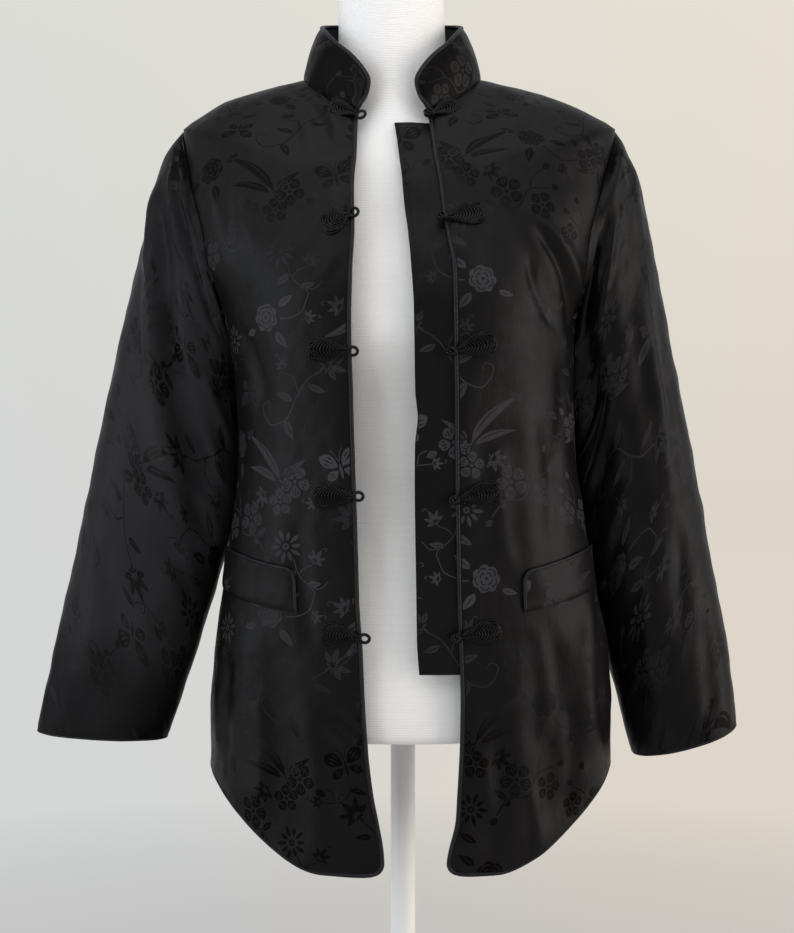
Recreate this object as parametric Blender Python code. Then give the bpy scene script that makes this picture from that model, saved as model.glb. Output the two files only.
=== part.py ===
# A tang jacket (a women's padded Chinese jacket with frogs) on a limbless dress form.
# Metres, +Z up, the wearer faces -Y. The origin is the middle of the base's underside.
# "right" and "left" are the wearer's: the wearer's right side is -X.
import bpy
import bmesh
import numpy as np

MM = 0.001

# ---------------------------------------------------------------- driving sizes, in mm
CLOTH_WALL = 2.0          # face cloth, thin wadding and lining together
BOUND_EDGE = 4.4          # diameter of the corded edge along fronts and collar
FINE_EDGE = 2.6           # diameter of the corded edge along cuffs and back hem
SEAM_GAP = 0.4            # between the edges of two pieces sewn together
PAD_GAP = 1.5             # between a panel and what lies on it
PLACKET_GAP = 2.0         # between the left front and the placket inside it
ARMHOLE_GAP = 0.8         # between the armhole's edge and the sleeve
ARMHOLE_WALL = 1.2        # the sleeve's wall where it meets the armhole
WELT_WALL = 2.0
PLACKET_WALL = 1.4

POLE_RADIUS = 12.5
POLE_FOOT = 12.4          # the pole starts just above the base plate
BASE_RADIUS = 170.0
BASE_HEIGHT = 12.0
FORM_BOTTOM = 600.0
FORM_NECK_TOP = 1366.0
NECK_CAP_HEIGHT = 12.0
LEAN = 0.016              # the form stands a degree off the pole, towards -X

ROWS_BELOW_ARMPIT = 13
ROWS_ABOVE_SHOULDER = 4
FRONT_COLUMNS = 9
BACK_COLUMNS = 16
SLEEVE_SIDES = 16
SLEEVE_ROWS = 16
COLLAR_COLUMNS = 24
CORD_SIDES = 5

# ---------------------------------------------------------------- body sections, in mm
# One row for each level. front, side and back are the heights of the level at the middle
# of the front, at the side seam and at the middle of the back. half_right and half_left
# are the half widths, fore and aft the depths, square the superellipse exponent.
BODY_COLUMNS = ("name", "level", "front", "side", "back",
                "half_right", "half_left", "fore", "aft", "square")
BODY = (
    ("hem", 478, 482, 573, 573, 195, 209, 112, 124, 2.5),
    ("seat", 590, 590, 632, 633, 194, 211, 115, 124, 2.5),
    ("hip", 672, 672, 692, 694, 188, 208, 117, 122, 2.5),
    ("high hip", 735, 735, 743, 736, 180, 197, 119, 117, 2.45),
    ("under waist", 811, 811, 813, 811, 169, 188, 122, 107, 2.4),
    ("waist", 880, 880, 880, 880, 162, 179, 125, 98, 2.35),
    ("under bust", 930, 930, 930, 930, 163, 178, 128, 97, 2.35),
    ("bust", 983, 983, 983, 984, 168, 179, 131, 100, 2.35),
    ("armpit", 1020, 1020, 1022, 1024, 176, 182, 132, 104, 2.35),
    ("chest", 1068, 1066, 1082, 1090, 203, 206, 125, 108, 2.3),
    ("high chest", 1118, 1112, 1144, 1158, 217, 222, 111, 108, 2.2),
    ("shoulder point", 1165, 1160, 1208, 1206, 214, 226, 95, 98, 2.1),
    ("shoulder cap", 1176, 1167, 1222, 1219, 196, 205, 90, 92, 2.1),
    ("shoulder", 1192, 1180, 1237, 1236, 170, 176, 84, 84, 2.1),
    ("shoulder neck", 1212, 1195, 1252, 1256, 125, 127, 76, 74, 2.1),
    ("neck seam", 1232, 1206, 1260, 1272, 91, 91, 69, 66, 2.1),
)
LEVEL_TILT = 1.7          # how fast a tilted level leaves its front or back height
HEM_FLAT = 0.42           # share of the half width over which the hem stays level
HEM_RISE = 1.6            # how the hem climbs from there to the side seam

# The armhole leaves the side seam at the armpit, and comes back to it at the shoulder.
ARMHOLE_LOW = 1022.0
ARMHOLE_HIGH = 1165.0
ARMHOLE_FRONT = 27.0      # degrees it reaches forward of the side seam
ARMHOLE_BACK = 24.0       # degrees it reaches back

# Edge of each front, from the middle: (level, right front, left front).
FRONT_EDGE = (
    (478, 19.0, 38.0), (495, 19.6, 40.0), (528, 24.2, 48.0), (555, 28.8, 50.0),
    (604, 33.5, 53.5), (650, 35.6, 54.6), (690, 36.6, 54.0), (740, 39.1, 53.0),
    (830, 40.2, 52.8), (915, 41.6, 53.0), (1000, 42.0, 53.2), (1050, 40.2, 53.0),
    (1090, 38.8, 48.5), (1130, 37.6, 43.0), (1165, 36.0, 38.5), (1232, 33.8, 33.6),
)

# Soft folds of the body: height (mm, proud of the level) along a line on the body from
# (x, z) to (x, z), with the half width of the fold. Negative is a trough.
FOLDS_FRONT = (
    ("left dart", 112, 1096, 150, 1016, 14, -3.0),
    ("left drape", 118, 905, 126, 760, 16, 2.5),
    ("left skirt fold", 168, 690, 176, 570, 20, 4.0),
    ("left skirt dip", 139, 690, 142, 540, 20, -3.5),
    ("left skirt roll", 106, 680, 106, 520, 20, 3.0),
    ("right chest fold", -176, 1150, -168, 1086, 12, 3.0),
    ("right drape", -112, 900, -118, 780, 16, 2.0),
    ("right skirt fold", -150, 685, -156, 560, 20, 3.0),
    ("right skirt dip", -118, 680, -116, 520, 20, -2.5),
    ("right bust", -92, 1010, -92, 985, 46, 5.0),
    ("left bust", 96, 1010, 96, 985, 46, 5.0),
)
FOLDS_BACK = (
    ("centre waist", 0, 960, 0, 830, 34, -4.0),
    ("right blade", -95, 1120, -92, 1040, 40, 4.0),
    ("left blade", 98, 1120, 96, 1040, 40, 4.0),
    ("right drape", -118, 930, -126, 770, 18, 3.0),
    ("left drape", 112, 900, 122, 740, 18, 3.0),
    ("right skirt fold", -92, 740, -98, 573, 20, 4.0),
    ("left skirt fold", 84, 740, 92, 573, 20, 4.0),
    ("centre skirt fold", -6, 720, -10, 573, 24, 3.0),
)

# ---------------------------------------------------------------- sleeves, in mm
# Rows from the armhole to the cuff: outer and inner point of the flat sleeve as it hangs,
# (x, y, z) with x counted outward from the middle, half its depth, and how much lower
# its front hangs than its back.
SLEEVE_ROW_COLUMNS = ("down", "outer_x", "outer_y", "outer_z",
                      "inner_x", "inner_y", "inner_z", "depth", "drop")
SLEEVE_RIGHT = (
    (0.040, 228, 0, 1190, 181, 6, 1012, 64, 0),
    (0.090, 241, 2, 1164, 182, 14, 994, 62, 0),
    (0.200, 258, 5, 1098, 177, 28, 965, 58, 0),
    (0.320, 277, 8, 1026, 170, 36, 930, 55, 0),
    (0.450, 298, 9, 939, 166, 38, 878, 53, 0),
    (0.590, 316, 9, 855, 170, 34, 817, 51, 0),
    (0.725, 335, 8, 769, 186, 26, 758, 47, 2),
    (0.860, 355, 6, 684, 212, 16, 674, 40, 3),
    (1.000, 374, 2, 600, 240, 6, 592, 30, 4),
)
SLEEVE_LEFT = (
    (0.040, 236, 0, 1192, 188, 6, 1012, 64, 0),
    (0.090, 249, 2, 1164, 189, 14, 994, 62, 0),
    (0.200, 263, 5, 1093, 187, 27, 960, 61, 0),
    (0.320, 277, 8, 1016, 184, 36, 920, 60, 0),
    (0.450, 292, 9, 934, 184, 42, 868, 59, 0),
    (0.590, 306, 9, 853, 191, 44, 807, 57, 2),
    (0.725, 319, 9, 771, 203, 45, 740, 54, 6),
    (0.860, 333, 7, 689, 217, 42, 664, 50, 10),
    (1.000, 342, 3, 606, 236, 24, 576, 42, 14),
)
SLEEVE_SQUARE = 2.15
# Sleeve folds: (name, start down, start turn, end down, end turn, half width, height).
# turn is in degrees round the sleeve, 0 outer, 90 front, 180 inner.
SLEEVE_FOLDS_RIGHT = (
    ("elbow crease", 0.19, 20, 0.52, 92, 14, -5.0),
    ("front roll", 0.22, 62, 0.56, 118, 15, 4.0),
    ("lower roll", 0.62, 40, 0.92, 70, 16, 3.0),
    ("back roll", 0.25, 250, 0.60, 300, 18, 4.0),
)
SLEEVE_FOLDS_LEFT = (
    ("front roll", 0.14, 84, 0.58, 78, 15, 4.0),
    ("inner trough", 0.16, 122, 0.48, 116, 14, -5.0),
    ("lower roll", 0.55, 66, 0.92, 92, 16, 3.0),
    ("back roll", 0.25, 300, 0.62, 262, 18, 4.0),
)

# ---------------------------------------------------------------- collar, in mm
# Top edge of the stand collar on each side, from its front corner to the middle of the
# back: (share of the way round, x, y, z).
COLLAR_BASE_EDGE = 33.8
COLLAR_BOW = 3.5          # how far the collar bulges between its seam and its top
COLLAR_TOP = (
    (0.00, 27.0, -73, 1228), (0.04, 24.5, -74, 1241), (0.09, 28, -72, 1249.5),
    (0.18, 42, -65, 1268), (0.28, 58, -52, 1284), (0.40, 71, -24, 1304),
    (0.50, 74, 0, 1313), (0.62, 71, 22, 1320), (0.78, 50, 46, 1327),
    (0.90, 24, 57, 1330), (1.00, 0, 60, 1331),
)

# ---------------------------------------------------------------- frogs, in mm
# (x and z of the leaf's far end, x and z of its end at the edge), on each side, from the
# collar down. The right front has the cord loops, the left front the ball knots.
FROGS_RIGHT = ((-60, 1221, -35, 1210), (-69, 1092, -45, 1103), (-83, 977, -47, 975),
               (-82, 838, -44.5, 839), (-77, 709, -41, 706))
FROGS_LEFT = ((61, 1223, 38, 1211), (86, 1111, 52, 1102), (92, 985, 57, 976),
              (95, 845, 58, 837), (94, 713, 58, 707))
FROG_LIFT = 1.6           # from the cloth to the underside of the cords
NECK_FROG_LIFT = 3.0      # more under the top pair, which bridges the collar's seam
NECK_FROG_SCALE = 0.72    # the top pair's leaves are narrower
# The leaf: (share of its length, half width, half thickness).
LEAF = ((0.0, 3.0, 1.2), (0.10, 8.2, 2.2), (0.34, 11.0, 2.6), (0.60, 9.4, 2.6),
        (0.82, 5.8, 2.4), (1.0, 3.0, 2.0))
# What follows the leaf: (distance past it, half width, half thickness).
LOOP = ((3.0, 2.8, 1.6), (6.0, 5.0, 1.6), (9.5, 5.0, 1.6), (12.0, 2.2, 1.2))
KNOT = ((2.0, 2.8, 2.2), (4.0, 4.4, 4.4), (7.5, 5.8, 5.8), (11.0, 4.4, 4.4),
        (13.0, 1.6, 1.6))

# Pocket welts: x and z of the corners, in order inner top, outer top, outer bottom,
# inner bottom.
WELT_RIGHT = ((-102, 768), (-173, 785), (-174, 744), (-101, 729))
WELT_LEFT = ((117, 766), (189, 786), (189, 747), (119, 729))

# Under-placket of the left front: its free edge (x) at each level, then where it ends.
PLACKET_EDGE = ((672, 16), (700, 14.5), (740, 14.5), (824, 14.5), (886, 15.5),
                (913, 18.5), (940, 16.5), (1015, 16.5), (1050, 15), (1090, 12.4),
                (1120, 9), (1160, 6), (1206, 1))
PLACKET_HIDDEN = 80.0     # x of the edge sewn inside the front
PLACKET_TOP = 1200.0
PLACKET_BOTTOM = 672.0

# ---------------------------------------------------------------- dress form, in mm
# (name, height, half width, fore, aft, square)
FORM = (
    ("bottom edge", 600, 152, 92, 100, 2.2),
    ("bottom roll", 606, 160, 99, 108, 2.2),
    ("seat", 640, 165, 101, 113, 2.2),
    ("hip", 700, 160, 98, 108, 2.2),
    ("high hip", 760, 145, 92, 95, 2.2),
    ("waist", 850, 119, 86, 80, 2.2),
    ("under bust", 920, 127, 92, 84, 2.2),
    ("bust", 1000, 148, 114, 92, 2.2),
    ("armpit", 1050, 158, 108, 97, 2.3),
    ("chest", 1110, 172, 92, 98, 2.4),
    ("plate", 1160, 181, 78, 88, 2.4),
    ("shoulder edge", 1190, 184, 64, 74, 2.3),
    ("shoulder point", 1208, 182, 50, 60, 2.2),
    ("shoulder", 1223, 174, 38, 50, 2.0),
    ("shoulder slope", 1235, 157, 30, 44, 2.0),
    ("shoulder neck", 1244, 132, 28, 44, 2.0),
    ("neck slope", 1252, 98, 34, 48, 2.0),
    ("neck foot", 1266, 68, 47, 54, 2.0),
    ("neck", 1290, 55, 51, 54, 2.0),
    ("neck top", 1366, 53, 52, 53, 2.0),
)
FORM_SIDES = 32

# ---------------------------------------------------------------- colours
CLOTH_COLOUR = (0.018, 0.018, 0.021, 1.0)
CORD_COLOUR = (0.010, 0.011, 0.014, 1.0)
JERSEY_COLOUR = (0.80, 0.80, 0.79, 1.0)
PAINT_COLOUR = (0.82, 0.82, 0.80, 1.0)
CAP_COLOUR = (0.78, 0.78, 0.76, 1.0)


# ---------------------------------------------------------------- small mathematics
def unit(vectors):
    """Vectors with their lengths made one."""
    vectors = np.asarray(vectors, float)
    size = np.linalg.norm(vectors, axis=-1, keepdims=True)
    return vectors / np.maximum(size, 1e-9)


def smooth_through(knots, values, at):
    """Monotone cubic curve through values at knots, read at a position."""
    knots = np.asarray(knots, float)
    values = np.asarray(values, float)
    at = np.clip(np.asarray(at, float), knots[0], knots[-1])
    width = np.diff(knots)
    slope = np.diff(values, axis=0) / width.reshape((-1,) + (1,) * (values.ndim - 1))
    tangent = np.zeros_like(values)
    tangent[0] = slope[0]
    tangent[-1] = slope[-1]
    product = slope[:-1] * slope[1:]
    total = slope[:-1] + slope[1:]
    safe = np.where(np.abs(total) < 1e-12, 1.0, total)
    tangent[1:-1] = np.where(product > 0, 2 * product / safe, 0.0)
    cell = np.clip(np.searchsorted(knots, at, side="right") - 1, 0, len(width) - 1)
    share = (at - knots[cell]) / width[cell]
    shape = share.shape + (1,) * (values.ndim - 1)
    u = share.reshape(shape)
    h = width[cell].reshape(shape)
    return ((2 * u ** 3 - 3 * u ** 2 + 1) * values[cell]
            + (u ** 3 - 2 * u ** 2 + u) * h * tangent[cell]
            + (3 * u ** 2 - 2 * u ** 3) * values[cell + 1]
            + (u ** 3 - u ** 2) * h * tangent[cell + 1])


def column(table, index):
    """One column of a table as an array."""
    return np.array([row[index] for row in table], float)


def leaned(points):
    """Points of the jacket and the form, leaned with the form about the pole's top."""
    points = np.array(points, float)
    points[..., 0] -= LEAN * (points[..., 2] - FORM_BOTTOM)
    return points


# ---------------------------------------------------------------- the body's surface
LEVELS = column(BODY, 1)


def level_points(turn):
    """The point of every body level at one turn, in degrees.

    turn 0 is the middle of the front, 90 the left side seam, 180 the middle of the
    back and 270 the right side seam.
    """
    angle = np.radians(turn)
    across = np.sin(angle)
    forward = np.cos(angle)
    half = np.where(across < 0, column(BODY, 5), column(BODY, 6))
    deep = np.where(forward >= 0, column(BODY, 7), column(BODY, 8))
    power = 2.0 / column(BODY, 9)
    x = np.sign(across) * half * abs(across) ** power
    y = -np.sign(forward) * deep * abs(forward) ** power
    end = column(BODY, 2) if forward >= 0 else column(BODY, 4)
    side = column(BODY, 3)
    z = side + (end - side) * abs(forward) ** LEVEL_TILT
    reach = max(0.0, (abs(across) ** power[0] - HEM_FLAT) / (1 - HEM_FLAT))
    z[0] = end[0] + (side[0] - end[0]) * reach ** HEM_RISE
    return np.stack([x, y, z], axis=1)


def body_points(turns, levels):
    """Points of the smooth body surface at turns and levels of the same shape."""
    turns = np.asarray(turns, float)
    levels = np.asarray(levels, float)
    out = np.zeros(turns.shape + (3,))
    flat = out.reshape(-1, 3)
    for index, (turn, level) in enumerate(zip(turns.ravel(), levels.ravel())):
        flat[index] = smooth_through(LEVELS, level_points(turn), level)
    return out


def body_normals(turns, levels):
    """Outward normals of the smooth body surface."""
    turns = np.asarray(turns, float)
    levels = np.asarray(levels, float)
    step_turn = body_points(turns + 0.8, levels) - body_points(turns - 0.8, levels)
    high = np.minimum(levels + 2.0, LEVELS[-1])
    low = np.maximum(levels - 2.0, LEVELS[0])
    step_level = body_points(turns, high) - body_points(turns, low)
    return unit(np.cross(step_turn, step_level))


def along_line(x, z, x0, z0, x1, z1):
    """Distance from a line's middle part, and how far along it the point lies."""
    dx, dz = x1 - x0, z1 - z0
    size = max(dx * dx + dz * dz, 1.0)
    share = np.clip(((x - x0) * dx + (z - z0) * dz) / size, 0.0, 1.0)
    away = np.hypot(x - x0 - share * dx, z - z0 - share * dz)
    return away, share


def fold_heights(points):
    """How far the folds lift the body surface at its points."""
    x, y, z = points[..., 0], points[..., 1], points[..., 2]
    lift = np.zeros(x.shape)
    for folds, mask in ((FOLDS_FRONT, y < 0), (FOLDS_BACK, y >= 0)):
        for _name, x0, z0, x1, z1, width, height in folds:
            away, _share = along_line(x, z, x0, z0, x1, z1)
            bump = height * np.exp(-(away / width) ** 2)
            lift += np.where(mask, bump * np.clip(np.abs(y) / 25.0, 0.0, 1.0), 0.0)
    return lift


def body_surface(turns, levels, out=0.0):
    """Points of the folded body surface, moved out along its normals."""
    points = body_points(turns, levels)
    normals = body_normals(turns, levels)
    return points + normals * (fold_heights(points) + out)[..., None]


def turn_for_x(x, level):
    """The turn on the front at which the body surface has a given x."""
    side_column = 5 if x < 0 else 6
    half = smooth_through(LEVELS, column(BODY, side_column), level)
    square = smooth_through(LEVELS, column(BODY, 9), level)
    share = min(abs(x) / half, 1.0)
    angle = np.degrees(np.arcsin(share ** (square / 2.0)))
    return angle if x >= 0 else -angle


def turn_and_level(x, z):
    """The turn and level of the front's point at a given x and z."""
    level = z
    for _step in range(14):
        turn = turn_for_x(x, level)
        level = level + (z - body_points(turn, level)[2])
        level = float(np.clip(level, LEVELS[0], LEVELS[-1]))
    return turn_for_x(x, level), level


def panel_point(side, turn, level, out):
    """A point on a front's own flat faces, moved out along the smooth normal."""
    turns, levels = front_grid(side, FRONT_COLUMNS)
    outer = PANEL_POINTS[side]
    row = int(np.clip(np.searchsorted(levels[:, 0], level) - 1, 0, len(levels) - 2))
    rise = (level - levels[row, 0]) / (levels[row + 1, 0] - levels[row, 0])
    low, high = ((turn - turns[line, 0]) / (turns[line, -1] - turns[line, 0])
                 for line in (row, row + 1))
    place = (low * (1 - rise) + high * rise) * FRONT_COLUMNS
    col = int(np.clip(place, 0, FRONT_COLUMNS - 1))
    share = place - col
    corner, after = outer[row, col], outer[row, col + 1]
    above, opposite = outer[row + 1, col], outer[row + 1, col + 1]
    if share >= rise:
        point = corner + share * (after - corner) + rise * (opposite - after)
    else:
        point = corner + rise * (above - corner) + share * (opposite - above)
    return point + body_normals(turn, level) * out


def laid_on_panel(side, turns, levels, out):
    """Points of a piece that lies on a front, out from its faces; past its edge they
    keep to the smooth surface."""
    points = body_surface(turns, levels, out)
    for place in np.ndindex(turns.shape):
        edge = front_edge(side, levels[place])
        if abs(points[place][0]) > edge:
            points[place] = panel_point(side, turns[place], levels[place], out)
    return points


def side_turn(level, gap):
    """Degrees between the side seam and a point that stands the gap away from it."""
    fore = float(smooth_through(LEVELS, column(BODY, 7), level))
    power = float(smooth_through(LEVELS, column(BODY, 9), level)) / 2.0
    return 90.0 - np.degrees(np.arccos((gap / fore) ** power))


def armhole_turn(level, reach):
    """Degrees from the side seam to the armhole's edge at one level."""
    share = (level - ARMHOLE_LOW) / (ARMHOLE_HIGH - ARMHOLE_LOW)
    if share <= 0 or share >= 1:
        return 0.0
    return reach * np.sin(np.pi * share) ** 0.62


def armhole_shares():
    """Where the armhole's points lie between the armpit (0) and the shoulder (1)."""
    half = SLEEVE_SIDES // 2
    return (1 - np.cos(np.pi * np.arange(half + 1) / half)) / 2


def panel_levels():
    """Levels of a panel's rows, the same on fronts, back and armholes."""
    below = np.linspace(LEVELS[0], ARMHOLE_LOW, ROWS_BELOW_ARMPIT)[:-1]
    hole = ARMHOLE_LOW + (ARMHOLE_HIGH - ARMHOLE_LOW) * armhole_shares()
    above = np.linspace(ARMHOLE_HIGH, LEVELS[-1], ROWS_ABOVE_SHOULDER + 1)[1:]
    return np.concatenate([below, hole, above])


def front_edge(side, level):
    """Distance of a front's cut edge from the middle."""
    index = 1 if side < 0 else 2
    outline = smooth_through(column(FRONT_EDGE, 0), column(FRONT_EDGE, index), level)
    return float(outline) + BOUND_EDGE + SEAM_GAP


def front_grid(side, count):
    """Turns and levels of a front's points; side is -1 for the wearer's right."""
    levels = panel_levels()
    turns = np.zeros((len(levels), count + 1))
    for row, level in enumerate(levels):
        start = abs(turn_for_x(side * front_edge(side, level), level))
        stop = 90.0 - max(armhole_turn(level, ARMHOLE_FRONT), side_turn(level, SEAM_GAP / 2))
        turns[row] = side * np.linspace(start, stop, count + 1)
    return turns, np.repeat(levels[:, None], count + 1, axis=1)


def back_grid(count):
    """Turns and levels of the back's points, from the right seam to the left one."""
    levels = panel_levels()
    turns = np.zeros((len(levels), count + 1))
    for row, level in enumerate(levels):
        inset = max(armhole_turn(level, ARMHOLE_BACK), side_turn(level, SEAM_GAP / 2))
        turns[row] = np.linspace(270.0 - inset, 90.0 + inset, count + 1)
    return turns, np.repeat(levels[:, None], count + 1, axis=1)


# ---------------------------------------------------------------- meshes
def material(name, colour, roughness, metallic=0.0):
    """A plain material."""
    made = bpy.data.materials.new(name)
    made.use_nodes = True
    shader = made.node_tree.nodes["Principled BSDF"]
    shader.inputs["Base Color"].default_value = colour
    shader.inputs["Roughness"].default_value = roughness
    shader.inputs["Metallic"].default_value = metallic
    return made


MATERIALS = {
    "cloth": (CLOTH_COLOUR, 0.55),
    "cord": (CORD_COLOUR, 0.45),
    "jersey": (JERSEY_COLOUR, 0.85),
    "paint": (PAINT_COLOUR, 0.40),
    "cap": (CAP_COLOUR, 0.60),
}


def add_object(name, slot, points, faces, smooth=False):
    """A mesh object from points in mm and faces, turned outward."""
    mesh = bpy.data.meshes.new(name)
    mesh.from_pydata([tuple(MM * value for value in point) for point in points], [],
                     [tuple(int(corner) for corner in face) for face in faces])
    body = bmesh.new()
    body.from_mesh(mesh)
    bmesh.ops.recalc_face_normals(body, faces=body.faces)
    if body.calc_volume(signed=True) < 0:
        bmesh.ops.reverse_faces(body, faces=body.faces)
    body.to_mesh(mesh)
    body.free()
    for polygon in mesh.polygons:
        polygon.use_smooth = smooth
    thing = bpy.data.objects.new(name, mesh)
    bpy.context.scene.collection.objects.link(thing)
    colour, roughness = MATERIALS[slot]
    thing.data.materials.append(material(slot + "_" + name, colour, roughness))
    return thing


def grid_normals(grid, closed):
    """Unit normals of a grid of points, rows by columns; columns may close a ring."""
    along = np.gradient(grid, axis=0)
    if closed:
        around = (np.roll(grid, -1, axis=1) - np.roll(grid, 1, axis=1)) / 2
    else:
        around = np.gradient(grid, axis=1)
    return unit(np.cross(around, along))


def sheet_faces(rows, columns, closed):
    """Faces of a closed shell: its outer grid, its inner grid and the rim between."""
    faces = []
    span = columns if closed else columns - 1
    layer = rows * columns

    def place(row, col, inner):
        return row * columns + col % columns + (layer if inner else 0)

    for row in range(rows - 1):
        for col in range(span):
            for inner in (0, 1):
                here = place(row, col, inner)
                after = place(row, col + 1, inner)
                opposite = place(row + 1, col + 1, inner)
                above = place(row + 1, col, inner)
                for half in ((here, after, opposite), (here, opposite, above)):
                    faces.append(half[::-1] if inner else half)
    for row, flip in ((0, False), (rows - 1, True)):
        for col in range(span):
            ring = (place(row, col, 0), place(row, col, 1),
                    place(row, col + 1, 1), place(row, col + 1, 0))
            faces.append(ring[::-1] if flip else ring)
    if not closed:
        for col, flip in ((0, True), (columns - 1, False)):
            for row in range(rows - 1):
                ring = (place(row, col, 0), place(row, col, 1),
                        place(row + 1, col, 1), place(row + 1, col, 0))
                faces.append(ring[::-1] if flip else ring)
    return faces


def add_sheet(name, slot, outer, inner, closed=False):
    """A thin closed shell from its outer and inner grids of points."""
    rows, columns = outer.shape[:2]
    points = np.concatenate([outer.reshape(-1, 3), inner.reshape(-1, 3)])
    return add_object(name, slot, leaned(points), sheet_faces(rows, columns, closed))


def loft_faces(rings, sides, cap_start=True, cap_end=True):
    """Faces of a solid lofted through rings of points."""
    faces = []
    for ring in range(rings - 1):
        for side in range(sides):
            after = (side + 1) % sides
            faces.append((ring * sides + side, ring * sides + after,
                          (ring + 1) * sides + after, (ring + 1) * sides + side))
    if cap_start:
        faces.append(tuple(range(sides))[::-1])
    if cap_end:
        faces.append(tuple(range((rings - 1) * sides, rings * sides)))
    return faces


def tube_points(path, radius, sides, up):
    """Rings of points round a path; up is a direction at each point of the path."""
    path = np.asarray(path, float)
    radius = np.broadcast_to(np.asarray(radius, float), (len(path),))
    ahead = unit(np.gradient(path, axis=0))
    across = unit(np.cross(ahead, up))
    lift = np.cross(across, ahead)
    angle = np.arange(sides) * 2 * np.pi / sides + np.pi / sides
    spoke = (np.cos(angle)[None, :, None] * across[:, None, :]
             + np.sin(angle)[None, :, None] * lift[:, None, :])
    return path[:, None, :] + radius[:, None, None] * spoke


def add_tube(name, slot, path, radius, sides, up):
    """A solid cord along a path, open ended with flat caps."""
    rings = tube_points(path, radius, sides, up)
    return add_object(name, slot, leaned(rings.reshape(-1, 3)),
                      loft_faces(len(rings), sides), smooth=True)


def add_ring_tube(name, slot, path, radius, sides, up):
    """A cord whose ends meet, such as the edge of a cuff."""
    path = np.asarray(path, float)
    ahead = unit(np.roll(path, -1, axis=0) - np.roll(path, 1, axis=0))
    across = unit(np.cross(ahead, up))
    lift = np.cross(across, ahead)
    angle = np.arange(sides) * 2 * np.pi / sides
    spoke = (np.cos(angle)[None, :, None] * across[:, None, :]
             + np.sin(angle)[None, :, None] * lift[:, None, :])
    rings = path[:, None, :] + radius * spoke
    faces = []
    count = len(path)
    for ring in range(count):
        after_ring = (ring + 1) % count
        for side in range(sides):
            after = (side + 1) % sides
            faces.append((ring * sides + side, ring * sides + after,
                          after_ring * sides + after, after_ring * sides + side))
    return add_object(name, slot, leaned(rings.reshape(-1, 3)), faces, smooth=True)


# ---------------------------------------------------------------- body panels
PANEL_POINTS = {}         # each front's outer points, by side


def panel_sheet(name, turns, levels):
    """A body panel as a thin shell."""
    outer = body_surface(turns, levels)
    inner = body_surface(turns, levels, -CLOTH_WALL)
    add_sheet(name, "cloth", outer, inner)
    return outer


def make_body():
    """Both fronts and the back."""
    for name, side in (("front_right", -1), ("front_left", 1)):
        turns, levels = front_grid(side, FRONT_COLUMNS)
        PANEL_POINTS[side] = panel_sheet(name, turns, levels)
    turns, levels = back_grid(BACK_COLUMNS)
    panel_sheet("back", turns, levels)


# ---------------------------------------------------------------- sleeves
def armhole_loop(side, count):
    """Points and normals round an armhole: top, front, armpit, back.

    The side is -1 for the wearer's right.
    """
    points = []
    normals = []
    for index in range(count):
        turn = 360.0 * index / count
        share = (1 + np.cos(np.radians(turn))) / 2
        share = min(max(share, 0.0), 1.0)
        level = ARMHOLE_LOW + (ARMHOLE_HIGH - ARMHOLE_LOW) * share
        reach = ARMHOLE_FRONT if turn <= 180 else ARMHOLE_BACK
        away = max(armhole_turn(level, reach), side_turn(level, SEAM_GAP / 2))
        place = 90.0 - away if turn <= 180 else 90.0 + away
        points.append(body_surface(side * place, level))
        normals.append(body_normals(side * place, level))
    return np.array(points), np.array(normals)


def sleeve_ring(row, side, count):
    """One ring of a sleeve from its table row."""
    _down, ox, oy, oz, ix, iy, iz, depth, drop = row
    outer = np.array((side * ox, oy, oz), float)
    inner = np.array((side * ix, iy, iz), float)
    middle = (outer + inner) / 2
    arm = (outer - inner) / 2
    deep = unit(np.cross((0, 0, 1.0), arm * side)) * -depth
    deep = deep * (1 if deep[1] < 0 else -1) - np.array((0, 0, drop / 2.0))
    angle = np.arange(count) * 2 * np.pi / count
    power = 2.0 / SLEEVE_SQUARE
    along = np.sign(np.cos(angle)) * np.abs(np.cos(angle)) ** power
    fore = np.sign(np.sin(angle)) * np.abs(np.sin(angle)) ** power
    return middle + along[:, None] * arm + fore[:, None] * deep


def sleeve_folds(grid, normals, down, folds):
    """A sleeve's points lifted by its folds."""
    turns = np.arange(grid.shape[1]) * 360.0 / grid.shape[1]
    lift = np.zeros(grid.shape[:2])
    length = 620.0
    radius = 58.0
    for _name, d0, t0, d1, t1, width, height in folds:
        for row, share in enumerate(down):
            for col, turn in enumerate(turns):
                along = np.clip((share - d0) / (d1 - d0), 0.0, 1.0)
                centre = t0 + (t1 - t0) * along
                round_by = np.radians((turn - centre + 180) % 360 - 180) * radius
                off_end = (share - np.clip(share, d0, d1)) * length
                lift[row, col] += height * np.exp(-(round_by / width) ** 2
                                                  - (off_end / (2 * width)) ** 2)
    return grid + normals * lift[..., None]


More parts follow.
